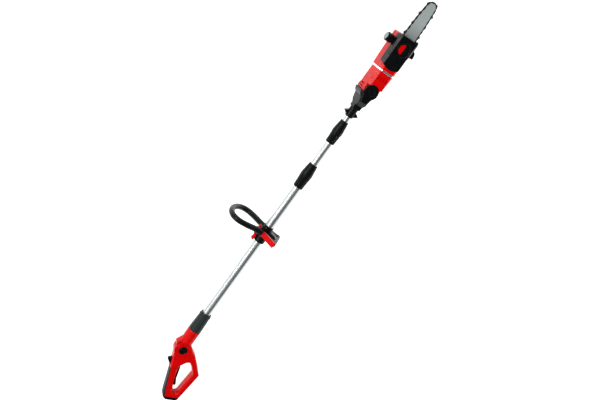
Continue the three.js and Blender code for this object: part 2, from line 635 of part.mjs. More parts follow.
function drivetrain() {
  const can = turnedX([[MOTOR.x[0], 0], [MOTOR.x[0], 16], [MOTOR.x[0] + 3, MOTOR.radius],
    [MOTOR.x[1], MOTOR.radius], [MOTOR.x[1], 0]]).translate([0, HEAD_Y, MOTOR.z]);
  const gear = new THREE.ExtrudeGeometry(star(GEARS.pinion, 5.4, 7), { depth: 12, bevelEnabled: false });
  gear.rotateY(Math.PI / 2).translate(640, HEAD_Y, MOTOR.z);
  const pinion = solid(gear).add(rodX(HEAD_Y, MOTOR.z, 3, [MOTOR.x[1] + GAP, 645], 16));
  const crown = new THREE.ExtrudeGeometry(star(GEARS.crown, 19, 22), { depth: 5, bevelEnabled: false });
  crown.translate(SPINDLE.x, HEAD_Y, -2.4);
  const bore = rodZ(SPINDLE.x, HEAD_Y, SPINDLE.radius + GAP, [-60, 60], 20);
  const sprocket = new THREE.ExtrudeGeometry(star(7, 7.4, 9.6), { depth: 5, bevelEnabled: false });
  sprocket.translate(SPINDLE.x, HEAD_Y, BAR.z - 2.5);
  return [
    part('motor_can', can, MATERIALS.steel),
    part('motor_pinion', pinion, MATERIALS.steel),
    part('crown_gear', solid(crown).subtract(bore), MATERIALS.steel),
    part('sprocket_spindle', rodZ(SPINDLE.x, HEAD_Y, SPINDLE.radius, [-27, 33], 20), MATERIALS.steel),
    part('drive_sprocket', solid(sprocket).subtract(bore), MATERIALS.steel),
  ];
}

// Half widths of the bar along its length, from the sprocket end to the nose.
const BAR_SIDE = [[679, 13], [690, 20], [706, 24], [742, 24.2], [812, 21.4]];

function barOutline(grow) {
  const shape = new THREE.Shape();
  const side = BAR_SIDE.map(([x, half]) => [x, half + grow]);
  const { x, radius } = BAR.nose;
  shape.moveTo(side[0][0], HEAD_Y - side[0][1]);
  for (const [px, half] of side.slice(1)) shape.lineTo(px, HEAD_Y - half);
  shape.absarc(x, HEAD_Y, radius + grow, -Math.PI / 2, Math.PI / 2, false);
  for (const [px, half] of side.slice().reverse()) shape.lineTo(px, HEAD_Y + half);
  return shape;
}

// The chain's line: the bar's edge closed by a turn around the drive sprocket.
function chainLine(grow) {
  const shape = barOutline(grow);
  const radius = 10.4 + grow;
  shape.absarc(SPINDLE.x, HEAD_Y, radius, THREE.MathUtils.degToRad(104),
    THREE.MathUtils.degToRad(256), false);
  return shape;
}

function guideBar() {
  const slot = new THREE.Shape();
  slot.absarc(693, HEAD_Y, 4.3, Math.PI / 2, (3 * Math.PI) / 2, false);
  slot.absarc(713, HEAD_Y, 4.3, -Math.PI / 2, Math.PI / 2, false);
  const z = [BAR.z - BAR.half, BAR.z + BAR.half];
  const blade = plate(barOutline(0), z).subtract(plate(slot, [0, 60]))
    .subtract(rodZ(722, HEAD_Y + 11, 3, [0, 60], 16));
  return part('guide_bar', blade, MATERIALS.barSteel);
}

function sawChain() {
  const z = [BAR.z - CHAIN.half, BAR.z + CHAIN.half];
  let loop = plate(chainLine(CHAIN.depth), z).subtract(plate(chainLine(CHAIN.gap), [0, 60]));
  const line = chainLine(CHAIN.depth - 0.4);
  for (let i = 0; i < CHAIN.cutters; i += 1) {
    const at = line.getPointAt((i + 0.5) / CHAIN.cutters);
    const along = line.getTangentAt((i + 0.5) / CHAIN.cutters);
    const tooth = new THREE.BoxGeometry(8, 3.2, 2 * CHAIN.half - 0.6);
    tooth.rotateZ(Math.atan2(along.y, along.x)).translate(at.x, at.y, BAR.z);
    if (at.x > SPINDLE.x + 45) loop = loop.add(solid(tooth));
  }
  return part('saw_chain', loop, MATERIALS.chainSteel);
}

function sprocketCover() {
  const [low, high] = COVER.z;
  const outer = plate(coverOutline(), [low, high])
    .intersect(casingSection([-43, 38], high, 9, [600, 750]));
  const hollow = plate([[636, 30], [626, 0], [636, -30.5], [690, -35], [760, -37], [760, 33],
    [700, 32.5]], [low - 1, high - COVER.wall]);
  const whole = outer.subtract(hollow)
    .subtract(rodZ(STUD.x, HEAD_Y, STUD.radius + 0.5, [0, 60], 16));
  return part('sprocket_cover', whole, MATERIALS.black);
}

function knobPieces() {
  const face = COVER.z[1];
  const y = HEAD_Y;
  const knob = turnedZ([[face + GAP, 0], [face + GAP, 24], [face + 1.5, 27], [face + 5.5, 27],
    [face + 7, 25], [face + 7, 20.6], [face + 3, 20.6], [face + 3, 0]], STUD.x, y, 24)
    .subtract(rodZ(STUD.x, y, STUD.radius + 0.5, [0, 60], 16));
  const upperHalf = wedge(STUD.x, y + 1, 18.6, 0, 180);
  const lowerHalf = wedge(STUD.x, y - 1, 18.6, 180, 360);
  return [
    part('bar_stud', rodZ(STUD.x, y, STUD.radius, [-5.6, face + 2.6], 16), MATERIALS.steel),
    part('cover_knob', knob, MATERIALS.black),
    part('knob_insert', plate(upperHalf, [face + 3.3, face + 4.8]), MATERIALS.red),
    part('knob_flap', plate(lowerHalf, [face + 3.3, face + 7.2]), MATERIALS.black),
  ];
}

function oilPieces() {
  const tank = block([690.3, 727.7], [7.3, 33.2], [-29.7, 2.7])
    .subtract(block([693, 725], [10, 30.5], [-27, 0]))
    .subtract(cylinderY(OIL_CAP.x, OIL_CAP.z, 6, [20, 40]));
  const cap = turnedY([[34.2, 0], [34.2, 9.6], [38.6, 9.6], [38.6, 14.5], [40, OIL_CAP.radius],
    [60, OIL_CAP.radius], [63, 14.8], [64.5, 0]], OIL_CAP.x, OIL_CAP.z, 24);
  return [
    part('oil_tank', tank, MATERIALS.grey),
    part('oil_cap', cap, MATERIALS.black),
  ];
}

function guards() {
  const hook = plate([[686, -41.6], [689, -60], [690, -68], [701, -67], [711, -63], [717, -54],
    [722, -46], [724, -41.6]], [-8, 9.6], 1);
  const spikes = plate([[743.6, -20], [749, -26], [745.5, -31], [751, -36], [745.5, -41],
    [749, -50], [738, -54], [728, -52], [727, -43.6], [743.6, -43.6]], [-8, 9.6]);
  return [
    part('branch_hook', hook, MATERIALS.black),
    part('bumper_spikes', spikes, MATERIALS.black),
  ];
}

function sawHead() {
  const group = new THREE.Group();
  group.add(
    headKnuckle(), knuckleBridge(), ...hingePieces(),
    ...motorHousing(), silverBand(), gearHousing(), ...drivetrain(),
    guideBar(), sawChain(), sprocketCover(), ...knobPieces(), ...oilPieces(), ...guards(),
  );
  return group;
}

// ---- whole tool ------------------------------------------------------------------------

const poleSaw = new THREE.Group();
const tool = new THREE.Group();
tool.add(pole(), neckCollar(), ...neckShells(), rearHandle(), sawHead());
tool.rotation.x = TOOL_ROLL;
poleSaw.add(tool, loopHandle());
poleSaw.position.set(FRAME_ORIGIN.x, FRAME_ORIGIN.y, FRAME_ORIGIN.z);

export default poleSaw;
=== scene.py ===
"""Studio scene of a cordless telescoping pole saw lying on its side.

Shapes are written in millimetres about the pole's axis: X towards the saw tip, Y to the tool's
top, Z to its near side. TOOL rolls that frame with the handle and head; ROW leaves it level.
"""
import json
import math

import bmesh
import bpy
from mathutils import Matrix, Vector
from mathutils.geometry import tessellate_polygon


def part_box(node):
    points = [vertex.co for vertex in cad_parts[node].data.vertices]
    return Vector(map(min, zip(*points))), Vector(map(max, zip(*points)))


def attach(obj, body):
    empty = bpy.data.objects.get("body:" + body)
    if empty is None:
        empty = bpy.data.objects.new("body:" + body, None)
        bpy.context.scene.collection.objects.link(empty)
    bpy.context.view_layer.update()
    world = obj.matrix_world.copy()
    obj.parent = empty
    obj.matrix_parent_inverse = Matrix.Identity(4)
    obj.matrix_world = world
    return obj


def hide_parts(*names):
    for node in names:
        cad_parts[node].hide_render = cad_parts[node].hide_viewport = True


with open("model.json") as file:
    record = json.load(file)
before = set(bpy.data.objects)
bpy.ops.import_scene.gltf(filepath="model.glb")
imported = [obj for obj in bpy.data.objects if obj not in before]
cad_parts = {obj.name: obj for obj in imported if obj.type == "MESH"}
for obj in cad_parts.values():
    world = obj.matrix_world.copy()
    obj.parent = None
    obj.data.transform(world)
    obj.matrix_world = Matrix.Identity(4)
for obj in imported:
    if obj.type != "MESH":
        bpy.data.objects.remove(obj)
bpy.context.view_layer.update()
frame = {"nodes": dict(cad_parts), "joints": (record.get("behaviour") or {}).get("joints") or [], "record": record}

JOINTS = {joint["name"]: joint for joint in frame["joints"]}
LOCK_X = 116                                   # where the lower lock's joint sits on the pole
POLE = Vector(JOINTS["lower_lock_twist"]["pos_m"]) - Vector((LOCK_X / 1000, 0, 0))
head_axis = JOINTS["head_tilt"]["axis"]
ROLL = math.atan2(-head_axis[1], head_axis[2])
ROW = Matrix.Translation(POLE) @ Matrix.Scale(0.001, 4)
TOOL = ROW @ Matrix.Rotation(ROLL, 4, "X")

# ---- camera ---------------------------------------------------------------------------

CAMERA_FROM_POLE = Vector((0.700, 0.0, 2.700))
AIM_FROM_POLE = Vector((0.0562, -0.0349, 0.0))
CAMERA_UP = Vector((0.8175, 0.5759, 0.0))


def make_camera():
    data = bpy.data.cameras.new("camera")
    data.sensor_fit = "HORIZONTAL"
    data.sensor_width = 36
    data.lens = 45.85
    data.clip_end = 50
    camera = bpy.data.objects.new("camera", data)
    bpy.context.scene.collection.objects.link(camera)
    forward = (AIM_FROM_POLE - CAMERA_FROM_POLE).normalized()
    right = forward.cross(CAMERA_UP).normalized()
    up = right.cross(forward)
    turn = Matrix((right, up, -forward)).transposed().to_4x4()
    camera.matrix_world = Matrix.Translation(POLE + CAMERA_FROM_POLE) @ turn
    bpy.context.scene.camera = camera


make_camera()

# ---- materials ------------------------------------------------------------------------


PLASTIC_SPECULAR, METAL_SPECULAR = 0.13, 0.5
MIDDLE_OF_NOISE = (0.3, 0.7)
RANGE = ("From Min", "From Max", "To Min", "To Max")


def coloured(sockets):
    """A mix node's colour sockets, which share their names with those of other kinds."""
    return [socket for socket in sockets if socket.type == "RGBA"]


class Shader:
    """A Principled material whose colour, roughness and bump come from object-space noise."""

    def __init__(self, name, metallic=0.0, coat=0.0):
        self.material = bpy.data.materials.new(name)
        self.material.use_nodes = True
        self.tree = self.material.node_tree
        self.surface = next(n for n in self.tree.nodes if n.type == "BSDF_PRINCIPLED")
        self.surface.inputs["Metallic"].default_value = metallic
        self.surface.inputs["Coat Weight"].default_value = coat
        self.surface.inputs["Coat Roughness"].default_value = 0.2
        self.surface.inputs["Specular IOR Level"].default_value = (
            METAL_SPECULAR if metallic else PLASTIC_SPECULAR)
        self.place = self.tree.nodes.new("ShaderNodeTexCoord").outputs["Object"]

    def noise(self, scale, detail=3.0, stretch=(1, 1, 1)):
        mapping = self.tree.nodes.new("ShaderNodeMapping")
        mapping.inputs["Scale"].default_value = stretch
        texture = self.tree.nodes.new("ShaderNodeTexNoise")
        texture.inputs["Scale"].default_value = scale
        texture.inputs["Detail"].default_value = detail
        self.tree.links.new(self.place, mapping.inputs["Vector"])
        self.tree.links.new(mapping.outputs["Vector"], texture.inputs["Vector"])
        return texture.outputs["Fac"]

    def pits(self, scale):
        texture = self.tree.nodes.new("ShaderNodeTexVoronoi")
        texture.inputs["Scale"].default_value = scale
        self.tree.links.new(self.place, texture.inputs["Vector"])
        return texture.outputs["Distance"]

    def spread(self, value, source, target):
        """value remapped from the source range to the target range."""
        node = self.tree.nodes.new("ShaderNodeMapRange")
        self.tree.links.new(value, node.inputs["Value"])
        for key, number in zip(RANGE, (*source, *target)):
            node.inputs[key].default_value = number
        return node.outputs["Result"]

    def blend(self, amount, first, second):
        node = self.tree.nodes.new("ShaderNodeMix")
        node.data_type = "RGBA"
        self.tree.links.new(amount, node.inputs["Factor"])
        for socket, colour in zip(coloured(node.inputs), (first, second)):
            if isinstance(colour, bpy.types.NodeSocket):
                self.tree.links.new(colour, socket)
            else:
                socket.default_value = (*colour, 1)
        return coloured(node.outputs)[0]

    def set(self, socket, value):
        self.tree.links.new(value, self.surface.inputs[socket])

    def bumps(self, *layers):
        """Each layer is (height, strength, distance in metres)."""
        normal = None
        for height, strength, distance in layers:
            node = self.tree.nodes.new("ShaderNodeBump")
            node.inputs["Strength"].default_value = strength
            node.inputs["Distance"].default_value = distance
            self.tree.links.new(height, node.inputs["Height"])
            if normal is not None:
                self.tree.links.new(normal, node.inputs["Normal"])
            normal = node.outputs["Normal"]
        self.set("Normal", normal)


def tinted(colour, factor, lift=0.0):
    return tuple(min(1.0, channel * factor + lift) for channel in colour)


def moulded(name, colour, rough, grain=1600, relief=0.000008, coat=0.0, wear=0.5):
    """Moulded plastic: slow colour drift, fine texture and small scuffs."""
    shader = Shader(name, coat=coat)
    drift = shader.blend(shader.noise(14), tinted(colour, 0.86), tinted(colour, 1.12))
    scuffs = shader.spread(shader.noise(260, 6, (1, 0.12, 0.3)), (0.68, 0.82), (0, 0.3 * wear))
    shader.set("Base Color", shader.blend(scuffs, drift, tinted(colour, 1.2, 0.012)))
    gloss = shader.spread(shader.noise(70, 5), MIDDLE_OF_NOISE, (rough - 0.06, rough + 0.06))
    shader.set("Roughness", gloss)
    shader.bumps((shader.noise(grain, 2), 0.3, relief), (shader.noise(30, 2), 0.08, 0.0002))
    return shader.material


def soft_rubber(name, colour):
    """Soft-touch rubber with a stippled surface."""
    shader = Shader(name)
    drift = shader.blend(shader.noise(40), tinted(colour, 0.75), tinted(colour, 1.3))
    dust = shader.spread(shader.noise(420, 4), (0.55, 0.8), (0, 0.25))
    shader.set("Base Color", shader.blend(dust, drift, tinted(colour, 1.4, 0.02)))
    shader.set("Roughness", shader.spread(shader.noise(90), MIDDLE_OF_NOISE, (0.5, 0.68)))
    shader.bumps((shader.pits(900), 0.4, 0.00006), (shader.noise(50), 0.2, 0.0004))
    shader.surface.inputs["Sheen Weight"].default_value = 0.04
    return shader.material


def metal(name, colour, rough, stretch, relief=0.00003, stain=0.2, metallic=1.0):
    """Metal with tool marks along one direction and slight tarnish."""
    shader = Shader(name, metallic=metallic)
    lines = shader.noise(220, 5, stretch)
    base = shader.blend(lines, tinted(colour, 0.9), tinted(colour, 1.08))
    tarnish = shader.spread(shader.noise(22, 6), (0.5, 0.75), (0, stain))
    aged = shader.blend(tarnish, base, tinted(colour, 0.6))
    shader.set("Base Color", aged)
    shader.set("Roughness", shader.spread(lines, MIDDLE_OF_NOISE, (rough - 0.02, rough + 0.03)))
    shader.bumps((lines, 0.08, relief * 0.4), (shader.noise(900, 2), 0.05, relief * 0.3))
    return shader.material


def bar_finish(name, colour, dark_until):
    """Ground bar steel, darker near the cover."""
    shader = Shader(name, metallic=0.45)
    lines = shader.noise(260, 5, (0.08, 1.5, 1))
    base = shader.blend(lines, tinted(colour, 0.88), tinted(colour, 1.1))
    axes = shader.tree.nodes.new("ShaderNodeSeparateXYZ")
    shader.tree.links.new(shader.place, axes.inputs["Vector"])
    # Darker over the bar's end by the cover, fading out along X.
    cover_end_mask = shader.spread(axes.outputs["X"], (dark_until, dark_until + 0.06), (0.6, 0))
    cover_end_tone = shader.blend(cover_end_mask, base, tinted(colour, 0.45))
    scratch = shader.spread(shader.noise(900, 3, (0.05, 1, 1)), (0.6, 0.8), (0, 0.4))
    shader.set("Base Color", shader.blend(scratch, cover_end_tone, tinted(colour, 1.3)))
    shader.set("Roughness", shader.spread(lines, MIDDLE_OF_NOISE, (0.34, 0.46)))
    shader.bumps((lines, 0.2, 0.00001), (shader.noise(700, 2), 0.15, 0.000008))
    return shader.material


RED = moulded("red_plastic", (0.49, 0.0006, 0.0006), 0.26, coat=0.05, wear=0.1)
BLACK = moulded("black_plastic", (0.0025, 0.0032, 0.0035), 0.26, wear=0.25)
SATIN = moulded("satin_black", (0.003, 0.004, 0.0045), 0.32, grain=1100, relief=0.000014, wear=0.25)
GREY = moulded("grey_plastic", (0.016, 0.021, 0.021), 0.34, wear=0.3)
# Painted reflection: this pale grey goes on the oil cap's upward top faces to stand for the light they reflect.
CAP_TOP_PAINTED_SHEEN = moulded("painted_cap_top_reflection", (0.24, 0.28, 0.27), 0.4)
RUBBER = soft_rubber("soft_grip_rubber", (0.009, 0.012, 0.012))
LEAD = soft_rubber("lead_jacket", (0.015, 0.015, 0.016))
ALUMINIUM = metal("anodised_tube", (0.6, 0.64, 0.64), 0.38, (0.03, 1.6, 1.6), 0.000004, 0.03)
STEEL = metal("plated_steel", (0.55, 0.58, 0.57), 0.34, (1, 1, 0.2))
CHAIN = metal("oiled_chain_steel", (0.012, 0.013, 0.013), 0.4, (1, 1, 1), stain=0.5, metallic=0.3)
SILVER = metal("silver_trim", (0.82, 0.85, 0.85), 0.3, (0.2, 1, 1), stain=0.05)
BRASS = metal("contact_brass", (0.7, 0.5, 0.2), 0.36, (1, 1, 0.3))
BAR_STEEL = bar_finish("bar_steel", (0.42, 0.47, 0.46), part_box("guide_bar")[0].x + 0.065)

SLOT_FINISH = {
    "red": RED, "black": BLACK, "grey": GREY, "soft_grip": RUBBER, "aluminium": ALUMINIUM,
    "steel": STEEL, "bar_steel": BAR_STEEL, "chain_steel": CHAIN, "silver_trim": SILVER,
    "contact_brass": BRASS,
}

# ---- mesh tools -----------------------------------------------------------------------


def lathe(profile, sides=72, relief=None):
    """[along, radius] points turned about X. relief(along, angle) adds to the radius."""
    bm = bmesh.new()
    closed = profile[0] == profile[-1]
    rings = []
    for along, radius in profile[:-1] if closed else profile:
        if radius == 0:
            rings.append([bm.verts.new((along, 0, 0))])
            continue
        ring = []
        for i in range(sides):
            angle = 2 * math.pi * i / sides
            reach = radius + (relief(along, angle) if relief else 0)
            ring.append(bm.verts.new((along, reach * math.cos(angle), reach * math.sin(angle))))
        rings.append(ring)
    if closed:
        rings.append(rings[0])
    for first, second in zip(rings, rings[1:]):
        for i in range(sides):
            j = (i + 1) % sides
            corners = [first[i % len(first)], first[j % len(first)],
                       second[j % len(second)], second[i % len(second)]]
            bm.faces.new(list(dict.fromkeys(corners)))
    bmesh.ops.recalc_face_normals(bm, faces=bm.faces)
    return bm


def moved(bm, x=0, y=0, z=0):
    bm.transform(Matrix.Translation((x, y, z)))
    return bm


def along_z(bm, x=0, y=0, z=0):
    bm.transform(Matrix.Translation((x, y, z)) @ Matrix.Rotation(-math.pi / 2, 4, "Y"))
    return bm


def along_y(bm, x=0, y=0, z=0):
    bm.transform(Matrix.Translation((x, y, z)) @ Matrix.Rotation(math.pi / 2, 4, "Z"))
    return bm


def rod(radius, low, high, edge=0.0, sides=64):
    """A round bar along X with rounded ends."""
    if edge == 0:
        return lathe([(low, 0), (low, radius), (high, radius), (high, 0)], sides)
    curve = [(edge * (1 - math.cos(t * math.pi / 6)), edge * (1 - math.sin(t * math.pi / 6)))
             for t in range(4)]
    start = [(low + a, radius - b) for a, b in curve]
    end = [(high - a, radius - b) for a, b in reversed(curve)]
    return lathe([(low, 0), *start, *end, (high, 0)], sides)


def fillet(points, radius, steps=5):
    """The closed outline with its corners rounded."""
    rounded = []
    for i, point in enumerate(points):
        corner = Vector(point)
        back = Vector(points[i - 1]) - corner
        ahead = Vector(points[(i + 1) % len(points)]) - corner
        angle = back.angle(ahead)
        if angle > math.radians(177):
            rounded.append(corner)
            continue
        reach = min(radius / math.tan(angle / 2), 0.48 * back.length, 0.48 * ahead.length)
        bend = reach * math.tan(angle / 2)
        start = corner + back.normalized() * reach
        end = corner + ahead.normalized() * reach
        middle = (back.normalized() + ahead.normalized()).normalized()
        centre = corner + middle * (bend / math.sin(angle / 2))
        first = math.atan2(*(start - centre).yx)
        sweep = (math.atan2(*(end - centre).yx) - first + math.pi) % (2 * math.pi) - math.pi
        for k in range(steps + 1):
            turn = first + sweep * k / steps
            rounded.append(centre + bend * Vector((math.cos(turn), math.sin(turn))))
    return rounded


def area(loop):
    return sum(a[0] * b[1] - b[0] * a[1] for a, b in zip(loop, [*loop[1:], loop[0]])) / 2


def facing(loop, sign):
    """The outline as vectors, anticlockwise for sign 1 and clockwise for sign -1."""
    loop = [Vector(p) for p in loop]
    return loop if area(loop) * sign > 0 else loop[::-1]


def inset(loop, amount):
    """The outline moved to its left by amount."""
    shifted = []
    for before, here, after in zip([loop[-1], *loop[:-1]], loop, [*loop[1:], loop[0]]):
        normals = [(b - a).normalized().orthogonal() for a, b in ((before, here), (here, after))]
        middle = (normals[0] + normals[1]).normalized()
        shifted.append(here + middle * (amount / max(middle.dot(normals[0]), 0.4)))
    return shifted


def slab(outline, low, high, edge=0.0, rise=None, hole=None, steps=4):
    """A plate between z low and high whose rims are rounded inwards by edge and down by rise."""
    bm = bmesh.new()
    rise = edge if rise is None else rise
    loops = [facing(outline, 1)] + ([facing(hole, -1)] if hole else [])
    turns = [math.pi / 2 * k / steps for k in range(steps + 1)] if edge else [math.pi / 2]
    lower = [(low + rise * (1 - math.cos(t)), edge * (1 - math.sin(t))) for t in turns]
    levels = lower + [(low + high - z, gone) for z, gone in reversed(lower)]
    rings = []
    for z, gone in levels:
        rings.append([[bm.verts.new((p.x, p.y, z)) for p in (inset(loop, gone) if gone else loop)]
                      for loop in loops])
    for below, above in zip(rings, rings[1:]):
        for first, second in zip(below, above):
            for i in range(len(first)):
                j = (i + 1) % len(first)
                bm.faces.new((first[i], first[j], second[j], second[i]))
    for level, flip in ((rings[0], True), (rings[-1], False)):
        corners = [v for ring in level for v in ring]
        for triangle in tessellate_polygon([[v.co for v in ring] for ring in level]):
            bm.faces.new([corners[i] for i in triangle])
    bmesh.ops.recalc_face_normals(bm, faces=bm.faces)
    return bm


SIDEWAYS = Matrix(((0, 0, 1, 0), (1, 0, 0, 0), (0, 1, 0, 0), (0, 0, 0, 1)))


def run_x(bm):
    """A plate's own x, y and z become Y, Z and X."""
    bm.transform(SIDEWAYS)
    return bm


def box(x, y, z):
    return slab([(x[0], y[0]), (x[1], y[0]), (x[1], y[1]), (x[0], y[1])], *z)


def object_from(bm, name):
    mesh = bpy.data.meshes.new(name)
    bm.to_mesh(mesh)
    bm.free()
    made = bpy.data.objects.new(name, mesh)
    bpy.context.scene.collection.objects.link(made)
    return made


def combine(first, second, operation):
    """The boolean of two closed meshes, both of which are used up."""
    target, cutter = object_from(first, "target"), object_from(second, "cutter")
    modifier = target.modifiers.new("boolean", "BOOLEAN")
    modifier.operation = operation
    modifier.solver = "MANIFOLD"
    modifier.object = cutter
    depsgraph = bpy.context.evaluated_depsgraph_get()
    result = bmesh.new()
    result.from_mesh(target.evaluated_get(depsgraph).data)
    for used in (target, cutter):
        mesh = used.data
        bpy.data.objects.remove(used)
        bpy.data.meshes.remove(mesh)
    bmesh.ops.remove_doubles(result, verts=result.verts, dist=1e-4)
    return result


def cut(bm, *cutters):
    for cutter in cutters:
        bm = combine(bm, cutter, "DIFFERENCE")
    return bm


def join(bm, *others):
    for other in others:
        bm = combine(bm, other, "UNION")
    return bm


def common(bm, other):
    return combine(bm, other, "INTERSECT")


def gathered(*meshes):
    """Separate closed meshes held in one."""
    whole = bmesh.new()
    for bm in meshes:
        mesh = bpy.data.meshes.new("part")
        bm.to_mesh(mesh)
        bm.free()
        whole.from_mesh(mesh)
        bpy.data.meshes.remove(mesh)
    return whole


def soften(made, width, angle=35):
    """A small rounded edge, and normals that keep flats flat."""
    if width:
        bevel = made.modifiers.new("edges", "BEVEL")
        bevel.width = width / 1000
        bevel.segments = 2
        bevel.limit_method = "ANGLE"
        bevel.angle_limit = math.radians(angle)
        bevel.use_clamp_overlap = True
    weighted = made.modifiers.new("normals", "WEIGHTED_NORMAL")
    weighted.keep_sharp = True
    weighted.weight = 75


def piece(name, bm, space, body, slot, *nodes, finish=None, edge=0.4):
    """A finished piece in place of CAD nodes, riding on their body."""
    bmesh.ops.dissolve_limit(bm, angle_limit=math.radians(0.5), verts=bm.verts, edges=bm.edges)
    bm.transform(space)
    made = object_from(bm, name)
    made.data.shade_smooth()
    made.data.set_sharp_from_angle(angle=math.radians(40))
    made.data.materials.append(finish or SLOT_FINISH[slot])
    soften(made, edge)
    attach(made, body)
    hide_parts(*nodes)
    return made


def parted(name, bm, space, body, slot, axis, nodes):
    """A casing in two halves that meet with a fine gap across the given axis."""
    reach, gap = 400, 0.15
    for label, node, side in (("a", nodes[0], 1), ("b", nodes[1], -1)):
        ranges = [[-1200, 1200], [-reach, reach], [-reach, reach]]
        ranges[axis] = [gap, reach] if side > 0 else [-reach, -gap]
        half = common(bm.copy(), box(*ranges))
        piece(f"{name}_{label}", half, space, body, slot, node)
    bm.free()


# ---- pole -----------------------------------------------------------------------------

GAP = 0.3                                      # between neighbouring pieces
TUBES = [("lower_tube", 16.5, 15, -640, 152, "pole_lower"),
         ("middle_tube", 14, 12.5, -300, 350, "pole_middle"),
         ("upper_tube", 11.5, 10, -170, 446, "pole_upper")]


def make_tube(node, outer, inner, start, end, body):
    profile = [(start, inner), (start, outer - 0.4), (start + 0.5, outer), (end - 0.5, outer),
               (end, outer - 0.4), (end, inner), (start, inner)]
    piece(f"{node}_drawn", lathe(profile, 96), TOOL, body, "aluminium", node, edge=0)


# name, bodies of housing and nut, x of start, joint and end, radii of nut and housing, bore,
# mouth and number of flutes
LOCKS = [("lower", "pole_lower", "lower_nut", (91, 141, 193), (19, 22), (22.5, 17.5), 16.9, 14.5,
          18),
         ("upper", "pole_middle", "upper_nut", (290, 332, 384), (17.6, 20), (20.8, 16), 14.4, 12,
          16)]
RING_PITCH, RING_DEPTH, FLUTE_DEPTH, NUT_RIM, NUT_EDGE = 2.6, 1.1, 1.7, 3, 0.8


def make_nut(prefix, body, start, end, radii, bore, ribs):
    """A twist lock's nut, with rings round it and flutes along it."""

    def outer(along):
        return radii[0] + (radii[1] - radii[0]) * (along - start) / (end - start)

    count = int((end - start - 9) / RING_PITCH)
    rings = [start + 5.2 + RING_PITCH * i for i in range(count)]
    stops = [start + NUT_EDGE, start + 2.9, start + 3.6, *rings, end - 3.6, end - 2.9,
             end - NUT_EDGE]

    def relief(along, angle):
        if along not in stops or along < start + NUT_RIM or along > end - NUT_RIM:
            return 0
        ring = RING_DEPTH if int(round((along - start) / RING_PITCH)) % 2 else 0.0
        return -FLUTE_DEPTH * max(0.0, math.cos(ribs * angle)) ** 2 - ring

    profile = [(start, bore), (start, outer(start) - NUT_EDGE), *[(x, outer(x)) for x in stops],
               (end, outer(end) - NUT_EDGE), (end, bore), (start, bore)]
    piece(f"{prefix}_nut_ribbed", lathe(profile, ribs * 10, relief), TOOL, body, "black",
          f"{prefix}_lock_nut", edge=0)


def make_lock(prefix, body, nut_body, x, ribbed, smooth, bore, mouth, ribs):
    """A twist lock's ribbed nut and its smooth tapered housing."""
    start, middle, end = x
    make_nut(prefix, nut_body, start, middle - GAP, ribbed, bore, ribs)
    wide, narrow = smooth
    lip = end - 12
    span = end - middle
    skin = [(middle, wide - 1), (middle + 0.8, wide - 0.3), (middle + 4, wide),
            (middle + 5, wide - 0.9), (middle + 6, wide - 0.9), (middle + 7, wide - 0.15),
            (middle + 0.45 * span, wide - 0.42 * (wide - narrow)),
            (end - 9, narrow + 0.5), (end - 8, narrow - 0.4), (end - 7, narrow - 0.4),
            (end - 6, narrow + 0.2), (end - 1.5, narrow - 0.4), (end, narrow - 1.6)]
    profile = [(middle, bore), *skin, (end, mouth), (lip, mouth), (lip, bore), (middle, bore)]
    piece(f"{prefix}_housing_smooth", lathe(profile, 80), TOOL, body, "black",
          f"{prefix}_lock_housing", edge=0)


def make_neck_collar():
    bore, start, end = 16.9, -600.4, -517
    profile = [(start, bore), (start, 24.4), (start + 1.2, 25.3), (start + 3, 25.5),
               (-560, 24.2), (-530, 22.6), (-529, 23.9), (-524.5, 23.9), (-523.4, 21.6),
               (end + 1, 20.9), (end, 20), (end, bore), (start, bore)]
    piece("neck_collar_turned", lathe(profile, 80), TOOL, "pole_lower", "grey", "neck_collar",
          edge=0)


# ---- neck and rear handle ---------------------------------------------------------------

PIVOT = (-692, -3)
BOSS, TONGUE, BUTTON = 35, 29, 17
HALF = 20
TUBE_SEAT, AXLE_BORE = 16.9, 5.3
NECK_PROFILE = [(-690, 0), (-690, 25), (-606, 26), (-602, 25.6), (-600.7, 24.6), (-600.7, 0)]
NECK_CREST = [(-648, 12), (-648, 25), (-658, 30), (-672, 37.5), (-684, 33), (-684, 12)]


def wedge(centre, radius, start, end, steps=24):
    """A pie slice about centre between two angles, in degrees."""
    angles = [math.radians(start + (end - start) * k / steps) for k in range(steps + 1)]
    return [centre, *[(centre[0] + radius * math.cos(a), centre[1] + radius * math.sin(a))
                      for a in angles]]


def make_neck():
    barrel = lathe(NECK_PROFILE, 96)
    hood = slab(fillet(NECK_CREST, 3), -15, 15, 6)
    tongue = slab([*wedge(PIVOT, TONGUE, 29, 331, 48)[1:], (-650, -17), (-650, 11)], -9, 9)
    whole = join(barrel, hood)
    whole = cut(whole, along_z(rod(BOSS + 1, -60, 60, sides=96), *PIVOT))
    whole = cut(join(whole, tongue), rod(TUBE_SEAT, -642, -590, sides=96),
                along_z(rod(AXLE_BORE, -30, 30, sides=32), *PIVOT))
    parted("neck_casing", whole, TOOL, "pole_lower", "red", 2,
           ["neck_shell_near", "neck_shell_far"])


HANDLE_OUTLINE = [(-692, 31), (-739, 14.5), (-801, -8), (-836, -20), (-894, -39), (-914, -47),
                  (-930, -60), (-914, -116), (-897, -114), (-772, -128), (-726, -89), (-697, -63),
                  (-672, -32), (-668, -10)]
HANDLE_OPENING = [(-763, -33), (-739, -49), (-733, -60), (-749, -79), (-778, -101), (-880, -93),
                  (-886, -86), (-878, -69), (-830, -49), (-790, -37)]
FIN_WAY = [(-781, 6), (-740.5, 22), (-740.5, -6), (-781, -14)]
HANDLE_CAVITY = [(-744, 2), (-800, -18), (-836, -30), (-890, -50), (-893, -58), (-880, -60),
                 (-830, -43), (-790, -31), (-750, -26), (-744, -22)]
TRIGGER_WAY = [(-759, -22), (-759, -46), (-800, -62), (-862, -80), (-864, -50), (-830, -34),
               (-800, -24)]
GRIP_RECESS = [(-760, -15), (-768, -23), (-800, -34), (-868, -60), (-872, -53), (-800, -27)]
